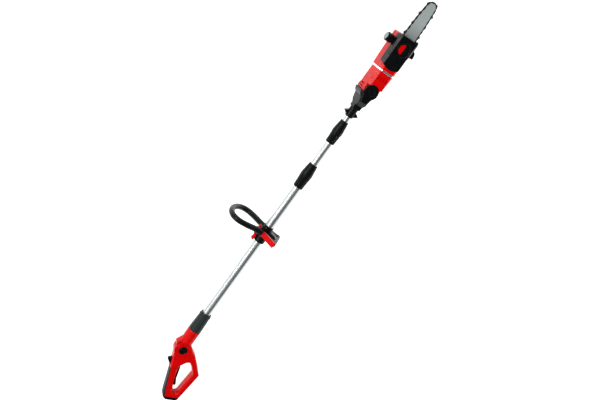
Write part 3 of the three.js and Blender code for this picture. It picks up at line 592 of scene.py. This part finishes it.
STRUT_RECESS = [(-713, -72), (-707, -68), (-745, -107), (-752, -112)]
BASE_RECESS = [(-880, -102), (-880, -106), (-776, -116), (-770, -112)]
SCREWS = ((-800, -113.5), (-716, -67))
DOCK = Matrix.Translation((-916.5, -84, 0)) @ Matrix.Rotation(math.radians(12.7), 4, "Z")


def grip_region(margin):
    return slab([(-780 + margin, 20), (-784 + margin, -6 - margin), (-820, -19 - margin),
                 (-884, -43 - margin), (-940, -66 - margin), (-940, 20)], -60, 60)


def handle_body():
    body = slab(fillet(HANDLE_OUTLINE, 9), -HALF, HALF, 7, 9, fillet(HANDLE_OPENING, 8))
    face = [(HALF, 0), (HALF, 24), (HALF - 0.9, 25), (HALF - 0.9, 26.5), (HALF, 27.5), (HALF, 31),
            (HALF - 1.2, 33.8), (HALF - 4, BOSS)]
    boss = along_z(lathe([(-a, r) for a, r in face] + face[::-1], 96), *PIVOT)
    behind = box((-60, 13.3), (-80, 80), (-60, 60))
    behind.transform(DOCK)
    return cut(join(body, boss), behind)


def make_handle():
    body = handle_body()
    grip = cut(common(body.copy(), grip_region(0)), slab(FIN_WAY, -6.4, 6.4))
    piece("grip_soft_back", grip, TOOL, "rear_handle", "soft_grip", "grip_overmould")
    slot = join(along_z(rod(TONGUE + 0.6, -9.4, 9.4, sides=96), *PIVOT),
                slab(wedge(PIVOT, 50, -42, 80), -9.4, 9.4))
    shell = cut(body, grip_region(GAP), slot, slab(HANDLE_CAVITY, -13, 13),
                slab(TRIGGER_WAY, -9, 9), slab(FIN_WAY, -6.4, 6.4),
                along_z(rod(AXLE_BORE, -30, 30, sides=32), *PIVOT),
                along_z(rod(BUTTON + 0.4, 12.8, 30), *PIVOT),
                along_z(rod(BUTTON + 0.4, -30, -15.8), *PIVOT))
    for x, y in SCREWS:
        shell = cut(shell, along_z(rod(3.6, -30, -16.2, sides=24), x, y),
                    along_z(rod(2, -30, 9, sides=16), x, y))
    for corners, bend, depth in ((GRIP_RECESS, 3, 1.2), (STRUT_RECESS, 2, 0.8),
                                 (BASE_RECESS, 1.8, 0.8)):
        outline = fillet(corners, bend)
        shell = cut(shell, slab(outline, HALF - depth, 40), slab(outline, -40, depth - HALF))
    parted("handle_casing", shell, TOOL, "rear_handle", "red", 2,
           ["handle_shell_near", "handle_shell_far"])


TRIGGER = [(-762, -27), (-766, -40), (-786, -46), (-823, -56), (-849, -69), (-856, -67),
           (-854, -57), (-830, -44), (-800, -33)]
FIN = [(-779, -2), (-776, 4), (-757, 24.5), (-751, 23), (-744, 13), (-742, 2), (-742, -2),
       (-778, -8)]


def make_handle_controls():
    lever = slab(fillet(TRIGGER, 2.5), -8.5, 8.5, 2.2)
    piece("trigger_curved", lever, TOOL, "trigger", "black", "trigger", edge=0)
    fin = slab(fillet(FIN, 1.6), -6, 6, 1.5)
    grooves = []
    for x in (-771, -767, -763):
        groove = box((-0.6, 0.6), (-0.6, 0.6), (-10, 10))
        grooves.append(moved(groove, x, 9.6 + (x + 771) * 1.08, 0))
    piece("lock_off_fin", cut(fin, *grooves), TOOL, "lock_off", "black", "lock_off_button",
          edge=0.2)
    button = [(17, 0), (17, 16), (18, 17), (21.6, 17), (22.6, 16), (22.6, 13.4), (21.8, 12.8),
              (21.8, 11.8), (22.8, 11), (23.6, 6), (23.6, 0)]
    piece("pivot_button_ringed", along_z(lathe(button, 72), *PIVOT), TOOL, "pivot_button", "black",
          "pivot_button", edge=0)


# ---- loop handle ------------------------------------------------------------------------

SLEEVE_START, SLEEVE_END, SLEEVE_R = -163, -91, 21
BOLT, BOLT_BORE = (-124, -50), 3.5
LUG = [(-142, -10), (-139, -44), (-132, -56), (-120, -56), (-109, -38), (-104, -10)]
KEEPER = [(-138, 10), (-138, 34), (-134, 37), (-118, 37), (-116, 32), (-116, 10)]
ARM, LOOP_X, LOOP_R, FOOT = 42, -116, 11, -48
LEVER_LEAN = math.radians(-12.8)
LATCH_Y, LATCH_Z = 27, 10
LATCH = [(-169, 23), (-160, 33), (-146, 30), (-143, 30), (-143, 19), (-160, 19)]
LATCH_DOME = [(-115.6, 0), (-115.6, 3.0), (-113.4, 5.2), (-111, 6.3), (-108.6, 6.6), (-106, 5.9),
              (-104, 4.3), (-102.8, 2.2), (-102.4, 0)]


def make_clamp():
    start, end, r = SLEEVE_START, SLEEVE_END, SLEEVE_R
    profile = [(start, TUBE_SEAT), (start, r - 2.4), (start + 1, r - 1.4), (start + 4, r),
               (end - 12, r), (end - 9, r - 0.8), (end - 6, r - 2), (end - 2, r - 1),
               (end - 0.6, r - 1.4), (end, r - 2.2), (end, TUBE_SEAT), (start, TUBE_SEAT)]
    sleeve = lathe(profile, 80)
    lug = slab(fillet(LUG, 8), -21, 21, 9)
    lug = join(lug, along_z(rod(9.5, -30.7, 30.7, 2, 48), *BOLT))
    keeper = slab(fillet(KEEPER, 2), -2, 22, 1.5)
    way = rod(TUBE_SEAT, start - 1, end + 1, sides=80)
    lug = cut(lug, way.copy(), along_z(rod(BOLT_BORE, -40, 40, sides=32), *BOLT))
    keeper = cut(keeper, way, moved(rod(5.8, -150, -100, sides=32), 0, LATCH_Y, LATCH_Z))
    upper = common(sleeve.copy(), box((-300, 0), (0.15, 90), (-90, 90)))
    lower = common(sleeve, box((-300, 0), (-90, -0.15), (-90, 90)))
    piece("clamp_upper_moulded", join(upper, keeper), ROW, "clamp", "black", "clamp_upper_half")
    piece("clamp_lower_moulded", join(lower, lug), ROW, "clamp", "black", "clamp_lower_half")


def catmull(points, steps):
    """A smooth line through the points."""
    line = []
    padded = [points[0] * 2 - points[1], *points, points[-1] * 2 - points[-2]]
    for a, b, c, d in zip(padded, padded[1:], padded[2:], padded[3:]):
        for k in range(steps):
            t = k / steps
            line.append(0.5 * (2 * b + (c - a) * t + (2 * a - 5 * b + 4 * c - d) * t * t
                               + (3 * b - a - 3 * c + d) * t ** 3))
    return [*line, points[-1]]


def make_loop():
    side = [(ARM, FOOT, -8), (ARM, -15, -5), (ARM + 1, 8, -2), (ARM + 8, 34, 0), (71, 66, 0),
            (83.2, 98, 0), (74, 124, 0), (43, 142, 0)]
    near = [Vector((LOOP_X + dx, y, z)) for z, y, dx in side]
    far = [Vector((p.x, p.y, -p.z)) for p in reversed(near)]
    line = catmull([*near, Vector((LOOP_X, 148, 0)), *far], 10)
    bm = bmesh.new()
    sides, rings = 28, []
    for i, point in enumerate(line):
        tangent = (line[min(i + 1, len(line) - 1)] - line[max(i - 1, 0)]).normalized()
        outward = tangent.cross(Vector((1, 0, 0))).normalized()
        across = outward.cross(tangent)
        share = i / (len(line) - 1)
        held = 0.26 < share < 0.74
        radius = LOOP_R - (0.35 if held and i % 3 == 0 else 0.0)
        rings.append([bm.verts.new(point + radius * (math.cos(a) * across + math.sin(a) * outward))
                      for a in (2 * math.pi * k / sides for k in range(sides))])
    for first, second in zip(rings, rings[1:]):
        for i in range(sides):
            j = (i + 1) % sides
            bm.faces.new((first[i], first[j], second[j], second[i]))
    bm.faces.new(rings[0])
    bm.faces.new(rings[-1])
    bmesh.ops.recalc_face_normals(bm, faces=bm.faces)
    feet = [along_z(rod(LOOP_R, low, low + 21.2, 1.5, 48), BOLT[0], FOOT)
            for low in (ARM - 10.6, -ARM - 10.6)]
    whole = cut(join(bm, *feet), along_z(rod(BOLT_BORE, -70, 70, sides=32), *BOLT))
    piece("loop_grip_bent", whole, ROW, "loop", "black", "loop_grip", finish=SATIN, edge=0.3)


def make_lever():
    """Made in its own frame: x along the hinge, y up the lever, z out from the arm."""
    pin, cam, eye = 6.5, 6.2, 4.5
    bend = [(cam * math.cos(a), pin + cam * math.sin(a))
            for a in (math.radians(90 + 12 * k) for k in range(16))]
    side = [(8, pin - 4), (50, 3), (55, 5), (55, 12), (54, 13), (51.5, 13), (48, 9.6), *bend]
    lever = run_x(slab(side, -10.5, 10.5, 1.2))
    dots = [along_z(rod(1.2, 0, 1.8, 0.6, 16), -6.6 + 4.4 * i, 22 + 4.4 * j,
                    11.5 - 0.064 * (22 + 4.4 * j)) for i in range(4) for j in range(6)]
    lever = join(lever, gathered(*dots))
    slot = join(moved(rod(eye, -4.6, 4.6, sides=32), 0, 0, pin),
                box((-4.6, 4.6), (-8, eye), (-2, pin)), box((-4.6, 4.6), (-8, 0), (-2, pin + 3.4)),
                box((-4.6, 4.6), (-8, -eye), (-2, 20)))
    lever = cut(lever, slot, moved(rod(2.5, -20, 20, sides=32), 0, 0, pin))
    place = Matrix.Translation((*BOLT, ARM + LOOP_R)) @ Matrix.Rotation(LEVER_LEAN, 4, "Z")
    piece("clamp_lever_dotted", lever, ROW @ place, "lever", "red", "clamp_lever", edge=0.3)


def make_latch():
    head = slab(fillet(LATCH, 1.5), LATCH_Z - 8, LATCH_Z + 8, 2)
    head = cut(head, rod(SLEEVE_R + GAP, -180, -80, sides=80))
    stem = moved(rod(5.5, -145, -110, sides=40), 0, LATCH_Y, LATCH_Z)
    knob = moved(lathe(LATCH_DOME, 40), 0, LATCH_Y, LATCH_Z)
    piece("loop_latch_moulded", join(head, stem, knob), ROW, "latch", "red", "loop_latch", edge=0.3)


# ---- head joint ---------------------------------------------------------------------------

HINGE = 520
HINGE_BORE = 4.3
EAR, EAR_HALF, EAR_INNER, TAIL, SWEEP = 27.5, 38, 28.3, 30, 38
WINGS = [(404, 8), (419, 30), (429, 15), (429, -15), (419, -31), (404, -8)]
FORK_SIDE = [(440, -15.5), (458, -15.8), (476, -17), (492, -19.5), (508, -25), (520, -EAR),
             (552, -EAR), (552, EAR), (520, EAR), (504, 26), (488, 21.5), (472, 17.5), (456, 15.5),
             (440, 15.5)]
FORK_PLAN = [(440, -15.5), (456, -17), (476, -EAR_HALF), (552, -EAR_HALF), (552, EAR_HALF),
             (476, EAR_HALF), (456, 17), (440, 15.5)]


def make_knuckle():
    socket = lathe([(404, 0), (404, 13.5), (405, 14.8), (407, 16), (458, 16), (458, 0)], 72)
    wings = slab(fillet(WINGS, 2), -8, 8, 2)
    top = slab(fillet(FORK_PLAN, 4), -40, 40)
    top.transform(Matrix.Rotation(math.pi / 2, 4, "X"))
    fork = common(slab(fillet(FORK_SIDE, 6), -EAR_HALF, EAR_HALF, 10), top)
    fork = cut(fork, box((HINGE, 620), (-60, 60), (-50, 50)))
    ears = []
    for sign in (1, -1):
        rim = [(27, 0), (27, EAR), (EAR_HALF - 1.6, EAR), (EAR_HALF - 0.5, EAR - 0.5),
               (EAR_HALF, EAR - 1.8), (EAR_HALF, 23.6), (EAR_HALF - 0.9, 23), (EAR_HALF - 0.9, 0)]
        ears.append(along_z(lathe([(sign * a, r) for a, r in rim], 96), HINGE, 0))
    fork = cut(join(fork, *ears),
               along_z(rod(SWEEP, -EAR_INNER, EAR_INNER, sides=96), HINGE, 0))
    whole = cut(join(socket, wings, fork), rod(11.8, 400, 448.5),
                rod(4, 440, 500, sides=32), along_z(rod(HINGE_BORE, -60, 60, sides=32), HINGE, 0),
                along_z(rod(13.4, 33, 60), HINGE, 0))
    piece("head_fork", whole, TOOL, "pole_upper", "black", "head_knuckle")
    arc = [math.radians(105 + 91 * k / 24) for k in range(25)]
    shell = [(HINGE + 37.5 * math.cos(a), 37.5 * math.sin(a)) for a in arc]
    shell += [(HINGE + 31.2 * math.cos(a), 31.2 * math.sin(a)) for a in reversed(arc)]
    piece("knuckle_bridge_curved", slab(shell, 0.6 - EAR_INNER, EAR_INNER - 0.6, 1.0), TOOL,
          "pole_upper", "grey", "knuckle_bridge", edge=0)
    button = [(35.6, 0), (35.6, 13), (39, 13), (40, 12.4), (40.5, 11), (40.2, 9.4), (40.2, 0)]
    knurl = [along_z(rod(0.8, 39.8, 40.9, 0.3, 12), HINGE + 6.6 * math.cos(a) * s,
                     6.6 * math.sin(a) * s) for s in (0.45, 1.0)
             for a in (math.radians(40 * k) for k in range(9))]
    piece("tilt_button_dotted", join(along_z(lathe(button, 64), HINGE, 0), gathered(*knurl)), TOOL,
          "tilt_button", "black", "tilt_lock_button", edge=0)


# ---- saw head -----------------------------------------------------------------------------

HEAD_Y, HEAD_HALF, CHAMFER = -1, 38, 12
BAND = (600.3, 606.7)
MOTOR_Z = -10
SPINDLE, STUD, STUD_BORE = 660, 699, 4.3
COVER_LOW, COVER_HIGH = 10, 40


def casing(y, half, chamfer, x, soft=3.0):
    """A length of the casing's section, a rectangle with its corners cut off."""
    low, high = y
    section = [(low + chamfer, -half), (high - chamfer, -half), (high, chamfer - half),
               (high, half - chamfer), (high - chamfer, half), (low + chamfer, half),
               (low, half - chamfer), (low, chamfer - half)]
    return run_x(slab(fillet(section, soft, 3), *x))


def make_motor_housing():
    back, inner = 541, EAR_INNER - 0.4
    front = BAND[0] - GAP
    taper = slab([(back, 30), (front, 28), (front, -39), (back, -31)], -HEAD_HALF, HEAD_HALF)
    wide = common(taper, casing((-40, 31), HEAD_HALF, CHAMFER, (back - 1, BAND[0])))
    tail = join(along_z(rod(TAIL, -inner, inner, 2.5, 96), HINGE, 0),
                slab([(HINGE, -TAIL), (back + 4, -31), (back + 4, 30), (HINGE, TAIL)],
                     -inner, inner, 2.5))
    whole = cut(join(wide, tail),
                along_z(rod(EAR + 0.8, inner, 60, sides=96), HINGE, 0),
                along_z(rod(EAR + 0.8, -60, -inner, sides=96), HINGE, 0),
                moved(rod(19.6, 551, 620), 0, HEAD_Y, MOTOR_Z),
                along_z(rod(HINGE_BORE, -60, 60, sides=32), HINGE, 0))
    dashes = [slab(fillet([(568, y - 1.4), (584, y - 1.4), (586, y + 1.4), (570, y + 1.4)], 1),
                   z, z + 30) for y in (12, 1, -10, -21) for z in (HEAD_HALF - 7, -HEAD_HALF - 23)]
    vents = [run_x(slab(fillet([(24, -18), (60, -18), (60, 18), (24, 18)], 2), x - 2, x + 2))
             for x in (511, 521, 531)]
    whole = cut(whole, gathered(*dashes), gathered(*vents))
    parted("motor_casing", whole, TOOL, "head", "red", 2,
           ["motor_housing_near", "motor_housing_far"])
    ring = cut(casing((-40.4, 29), HEAD_HALF + 0.8, CHAMFER, BAND),
               moved(rod(22, 590, 620), 0, HEAD_Y, MOTOR_Z))
    piece("silver_band_bright", ring, TOOL, "head", "silver_trim", "silver_band", edge=0.6)


def cover_outline():
    rear = [(630 - 50 * t * (1 - t), -35 + 70 * t) for t in (k / 12 for k in range(13))]
    return [(677, -35.5), (690, -41), (739, -43), (741, -30), (741, 30), (738, 38), (700, 38),
            *rear[::-1]]


def make_gear_housing():
    start = BAND[1] + GAP
    far = common(slab([(start, 28), (660, 33), (700, 36), (738, 38), (741, 31), (743, 15),
                       (743, -30), (738, -41), (690, -40), (677, -36), (start, -39)],
                      -HEAD_HALF, 9.7), casing((-42, 39), HEAD_HALF, CHAMFER, (start - 1, 750)))
    near = common(slab([(start, 28), (636, 31.6), (636, -38), (start, -39)], 0, HEAD_HALF),
                  casing((-40.4, 31.6), HEAD_HALF, CHAMFER, (start, 700)))
    near = cut(near, slab(inset(facing(cover_outline(), 1), -0.3), COVER_LOW - 0.3, 60),
               slab([(618.5, 0), (629, -35.3), (700, -60), (700, 60), (629, 35.3)], 9.7, 60))
    whole = cut(join(far, near),
                along_z(rod(23, -22, 4), SPINDLE, HEAD_Y),
                moved(rod(9, 590, 655), 0, HEAD_Y, MOTOR_Z),
                along_z(rod(4.3, -28, 30, sides=32), SPINDLE, HEAD_Y),
                along_z(rod(4.1, -6, 30, sides=32), STUD, HEAD_Y),
                box((690, 728), (7, 33.5), (-30, 3)), along_y(rod(10, 30, 60), 706, 0, -2))
    lines = [box((622 + 22 * i, 634 + 22 * i), (-42, -33.4), (-24, 4)) for i in range(2)]
    piece("gear_casing", cut(whole, gathered(*lines)), TOOL, "head", "red", "gear_housing",
          edge=1.0)


def make_sprocket_cover():
    outer = common(slab(fillet(cover_outline(), 2, 3), COVER_LOW, COVER_HIGH),
                   casing((-43, 38), COVER_HIGH, 9, (600, 750), 2))
    hollow = slab([(636, 30), (626, 0), (636, -30.5), (690, -35), (760, -37), (760, 33),
                   (700, 32.5)], COVER_LOW - 1, COVER_HIGH - 4.5)
    raised = along_z(rod(30, COVER_HIGH - 4, COVER_HIGH, 0.8), STUD, HEAD_Y)
    cover = join(cut(outer, hollow), raised)
    cover = cut(cover, along_z(rod(STUD_BORE, 0, 60, sides=32), STUD, HEAD_Y))
    ribs = [box((630 + 0.12 * abs(y), 664), (y - 0.7, y + 0.7), (COVER_HIGH - 0.9, 60))
            for y in (-6, -12, -18, -24)]
    piece("sprocket_cover_ribbed", cut(cover, gathered(*ribs)), TOOL, "head", "black",
          "sprocket_cover", edge=0.9)


def make_knob():
    face = COVER_HIGH

    def knurl(along, angle):
        return -0.9 * max(0.0, math.cos(24 * angle)) ** 2 if face + 1 < along < face + 6 else 0

    profile = [(face + 0.3, 0), (face + 0.3, 24), (face + 1.5, 26.6), (face + 5.4, 26.6),
               (face + 6.4, 25.6), (face + 7, 24.6), (face + 7, 20.8), (face + 6.6, 20.4),
               (face + 3, 20.4), (face + 3, 0)]
    knob = cut(along_z(lathe(profile, 192, knurl), STUD, HEAD_Y),
               along_z(rod(STUD_BORE, 0, 60, sides=32), STUD, HEAD_Y))
    piece("cover_knob_knurled", knob, TOOL, "knob", "black", "cover_knob", edge=0)
    insert = slab(wedge((STUD, HEAD_Y + 1), 18.4, 0, 180, 40)[1:], face + 3.3, face + 4.9, 0.6)
    piece("knob_insert_domed", insert, TOOL, "knob", "red", "knob_insert", edge=0)
    flap = slab(wedge((STUD, HEAD_Y - 1), 18.4, 180, 360, 40)[1:], face + 3.3, face + 6, 0.8)
    ridge = slab(fillet([(STUD - 13, HEAD_Y - 5.2), (STUD + 13, HEAD_Y - 5.2),
                         (STUD + 13, HEAD_Y - 3), (STUD - 13, HEAD_Y - 3)], 0.9), face + 5,
                 face + 7.1, 0.6)
    piece("knob_flap_ridged", join(flap, ridge), TOOL, "flap", "black", "knob_flap", edge=0)


def make_oil_cap():
    def knurl(along, angle):
        return -0.8 * max(0.0, math.cos(20 * angle)) ** 2 if 42 < along < 60 else 0

    profile = [(34.2, 0), (34.2, 9.6), (38.6, 9.6), (38.6, 14.5), (40, 15.6), (42.5, 15.9),
               (59.5, 15.9), (61.5, 15.4), (63.2, 13.6), (63.6, 12.6), (64.2, 12), (64.3, 0)]
    cap = along_y(lathe(profile, 160, knurl), 706, 0, -2)
    made = piece("oil_cap_knurled", cap, TOOL, "oil_cap", "black", "oil_cap", edge=0)
    # Painted reflection: the faces above the cap's top are coloured pale grey for the light they catch.
    made.data.materials.append(CAP_TOP_PAINTED_SHEEN)
    top = TOOL @ Vector((706, 63.4, -2))
    up = (TOOL.to_3x3() @ Vector((0, 1, 0))).normalized()
    for polygon in made.data.polygons:
        if (polygon.center - top).dot(up) > 0:
            polygon.material_index = 1


BAR_SIDE = [(679, 13), (690, 20), (706, 24), (742, 24.2), (812, 21.4)]
NOSE_X, NOSE_R, BAR_Z = 864, 17, 25


def bar_line(grow, tail=True):
    """The bar's edge grown outwards, closed round the sprocket if tail is set."""
    lower = [Vector((x, HEAD_Y - half - grow)) for x, half in BAR_SIDE]
    nose = [Vector((NOSE_X + (NOSE_R + grow) * math.cos(a), HEAD_Y + (NOSE_R + grow) * math.sin(a)))
            for a in (math.radians(-90 + 7.5 * k) for k in range(25))]
    upper = [Vector((p.x, 2 * HEAD_Y - p.y)) for p in reversed(lower)]
    turn = [Vector((SPINDLE + (10.4 + grow) * math.cos(a), HEAD_Y + (10.4 + grow) * math.sin(a)))
            for a in (math.radians(104 + 9.5 * k) for k in range(17))] if tail else []
    return lower + nose + upper + turn


def make_bar():
    slot = [(693 + 4.3 * math.cos(a), HEAD_Y + 4.3 * math.sin(a))
            for a in (math.radians(90 + 15 * k) for k in range(13))]
    slot += [(713 + 4.3 * math.cos(a), HEAD_Y + 4.3 * math.sin(a))
             for a in (math.radians(-90 + 15 * k) for k in range(13))]
    blade = slab(bar_line(0, False), BAR_Z - 1.6, BAR_Z + 1.6, 0.3)
    rivets = [along_z(rod(1.5, BAR_Z - 1.9, BAR_Z + 1.9, 0.2, 20), NOSE_X + dx, HEAD_Y + dy)
              for dx, dy in ((0, 0), (-7, 5), (-7, -5), (-12, 0))]
    blade = cut(blade, slab(slot, 0, 60), along_z(rod(3, 0, 60, sides=32), 722, HEAD_Y + 11))
    piece("guide_bar_ground", join(blade, gathered(*rivets)), TOOL, "head", "bar_steel",
          "guide_bar", edge=0)


LINKS, CHAIN_LIFT = 52, 2.3
STRAP = fillet([(-6.3, -3.2), (6.3, -3.2), (6.3, 2.6), (-6.3, 2.6)], 2.1, 3)
CUTTER = [(-6.3, -3.2), (6.3, -3.2), (6.4, 1.8), (5.6, 5.2), (4.0, 5.6), (3.0, 2.2), (1.6, 2.2),
          (1.4, 5.9), (-5.2, 4.6), (-6.4, 1.8)]
CUTTER_ROOF = [(-5.2, 4.0), (1.4, 5.3), (1.7, 6.4), (-5.2, 5.1)]


def sampled(loop, count):
    """count places evenly along the closed line."""
    ends = [*loop[1:], loop[0]]
    lengths = [(b - a).length for a, b in zip(loop, ends)]
    step = sum(lengths) / count
    places, i, gone = [], 0, 0.0
    for k in range(count):
        while k * step > gone + lengths[i]:
            gone += lengths[i]
            i += 1
        share = (k * step - gone) / lengths[i]
        places.append(loop[i].lerp(ends[i], share))
    return places


def make_chain():
    """Tie straps in pairs, drive links between them, and cutters to each side in turn."""
    joints = sampled(bar_line(CHAIN_LIFT), LINKS)
    parts = []
    for i, start in enumerate(joints):
        end = joints[(i + 1) % LINKS]
        heading = end - start
        turn = Matrix.Rotation(math.atan2(heading.y, heading.x) + math.pi, 4, "Z")
        middle = (start + end) / 2
        place = Matrix.Translation((middle.x, middle.y, BAR_Z)) @ turn
        if i % 2:
            pieces = [slab(STRAP, -0.65, 0.65)]
        else:
            side = 1 if i % 8 < 4 else -1
            bladed = i % 4 == 0 and middle.x > SPINDLE + 20
            pieces = [slab(CUTTER if bladed else STRAP, *sorted((side * 0.9, side * 2.1)), 0.15),
                      slab(STRAP, *sorted((-side * 0.9, -side * 2.1)), 0.15)]
            if bladed:
                pieces.append(slab(CUTTER_ROOF, *sorted((-side * 0.4, side * 2.9)), 0.1))
        for part in pieces:
            part.transform(place)
        parts += pieces
        parts.append(along_z(rod(1.2, BAR_Z - 2.5, BAR_Z + 2.5, 0.3, 12), start.x, start.y))
    piece("saw_chain_linked", gathered(*parts), TOOL, "head", "chain_steel", "saw_chain", edge=0)


HOOK = [(686, -41.6), (689, -60), (690, -68), (701, -67), (711, -63), (717, -54), (722, -46),
        (724, -41.6)]
SPIKES = [(743.6, -20), (749, -26), (745.5, -31), (751, -36), (745.5, -41), (749, -50),
          (738, -54), (728, -52), (727, -43.6), (743.6, -43.6)]


def make_guards():
    hook = slab(fillet(HOOK, 1.5), -8, 9.6, 1)
    piece("branch_hook_moulded", hook, TOOL, "head", "black", "branch_hook", edge=0)
    spikes = slab(fillet(SPIKES, 0.8), -8, 9.6, 0.8)
    piece("bumper_spikes_moulded", spikes, TOOL, "head", "black", "bumper_spikes", edge=0)


# ---- the rest of the CAD ------------------------------------------------------------------

WELD_REACH = 0.000002
NODE_FINISH = {"coiled_lead": LEAD, "head_lead": LEAD, "battery_shoe": SATIN}


def finish_cad_nodes():
    """Every CAD node gets its slot's finish; round ones get smooth normals, edges a bevel."""
    for row in frame["record"]["subparts"]:
        node = frame["nodes"][row["node"]]
        finish = NODE_FINISH.get(row["node"], SLOT_FINISH[row["material_slot"]])
        node.data.materials.clear()
        node.data.materials.append(finish)
        weld = node.modifiers.new("weld", "WELD")
        weld.merge_threshold = WELD_REACH
        soften(node, 0.35, 50)


# ---- studio -------------------------------------------------------------------------------

FLOOR_HALF, FLOOR_GLOW = 30, 0.8


def make_floor():
    """A wide pale floor."""
    reach = (-FLOOR_HALF, FLOOR_HALF)
    floor = object_from(box(reach, reach, (-0.02, -0.0005)), "floor")
    shader = Shader("studio_floor")
    shader.set("Base Color", shader.blend(shader.noise(3), (0.56, 0.56, 0.56), (0.6, 0.6, 0.6)))
    shader.surface.inputs["Roughness"].default_value = 0.9
    shader.surface.inputs["Specular IOR Level"].default_value = 0.1
    shader.surface.inputs["Emission Color"].default_value = (1, 1, 1, 1)
    shader.surface.inputs["Emission Strength"].default_value = FLOOR_GLOW
    floor.data.materials.append(shader.material)


def area_light(name, place, aim, size, power):
    data = bpy.data.lights.new(name, "AREA")
    data.shape = "RECTANGLE"
    data.size, data.size_y = size
    data.energy = power
    lamp = bpy.data.objects.new(name, data)
    bpy.context.scene.collection.objects.link(lamp)
    lamp.location = place
    lamp.rotation_mode = "QUATERNION"
    lamp.rotation_quaternion = (Vector(aim) - Vector(place)).to_track_quat("-Z", "Y")
    return lamp


SKY_BANDS = ((0.0, 0.7), (0.03, 0.45), (0.08, 0.06), (0.24, 0.05), (0.34, 0.42), (0.5, 0.5),
             (0.6, 1.0))
HAZE, HAZE_LOW, HAZE_HIGH = 1.35, 0.1, 0.3
SKY_STRENGTH = 0.72


def grey(level):
    return level, level, level, 1


def make_world():
    """A broad soft light from the tool's top side, dim bands opposite, and a pale horizon."""
    world = bpy.data.worlds.new("studio")
    bpy.context.scene.world = world
    world.use_nodes = True
    tree = world.node_tree
    background = next(n for n in tree.nodes if n.type == "BACKGROUND")
    place = tree.nodes.new("ShaderNodeTexCoord")
    axes = tree.nodes.new("ShaderNodeSeparateXYZ")
    ramp = tree.nodes.new("ShaderNodeValToRGB")
    shift = tree.nodes.new("ShaderNodeMapRange")
    shift.inputs["From Min"].default_value = -1
    for element, (position, level) in zip(ramp.color_ramp.elements, SKY_BANDS):
        element.position = position
        element.color = grey(level)
    for position, level in SKY_BANDS[2:]:
        ramp.color_ramp.elements.new(position).color = grey(level)
    tree.links.new(place.outputs["Generated"], axes.inputs["Vector"])
    tree.links.new(axes.outputs["Y"], shift.inputs["Value"])
    tree.links.new(shift.outputs["Result"], ramp.inputs["Fac"])
    horizon = tree.nodes.new("ShaderNodeMapRange")
    for key, number in zip(RANGE, (HAZE_LOW, HAZE_HIGH, 1, 0)):
        horizon.inputs[key].default_value = number
    mix = tree.nodes.new("ShaderNodeMix")
    mix.data_type = "RGBA"
    sky, haze = coloured(mix.inputs)
    haze.default_value = grey(HAZE)
    tree.links.new(axes.outputs["Z"], horizon.inputs["Value"])
    tree.links.new(horizon.outputs["Result"], mix.inputs["Factor"])
    tree.links.new(ramp.outputs["Color"], sky)
    tree.links.new(coloured(mix.outputs)[0], background.inputs["Color"])
    background.inputs["Strength"].default_value = SKY_STRENGTH


# where each lamp is, what it faces, its size in metres and its power in watts
STRIP = (0.1, 1.75, 2.4), (0.1, 0, 0.1), (3.4, 0.2), 55
FILL = (0.0, -1.2, 3.8), (0, 0, 0), (3.5, 2.5), 112


def make_studio():
    make_floor()
    make_world()
    area_light("strip", *STRIP)
    fill = area_light("fill", *FILL)
    fill.visible_glossy = False
    bpy.context.scene.view_settings.view_transform = "Standard"


# ---- everything ---------------------------------------------------------------------------

finish_cad_nodes()
for tube in TUBES:
    make_tube(*tube)
for lock in LOCKS:
    make_lock(*lock)
make_neck_collar()
make_neck()
make_handle()
make_handle_controls()
make_clamp()
make_loop()
make_lever()
make_latch()
make_knuckle()
make_motor_housing()
make_gear_housing()
make_sprocket_cover()
make_knob()
make_oil_cap()
make_bar()
make_chain()
make_guards()
make_studio()
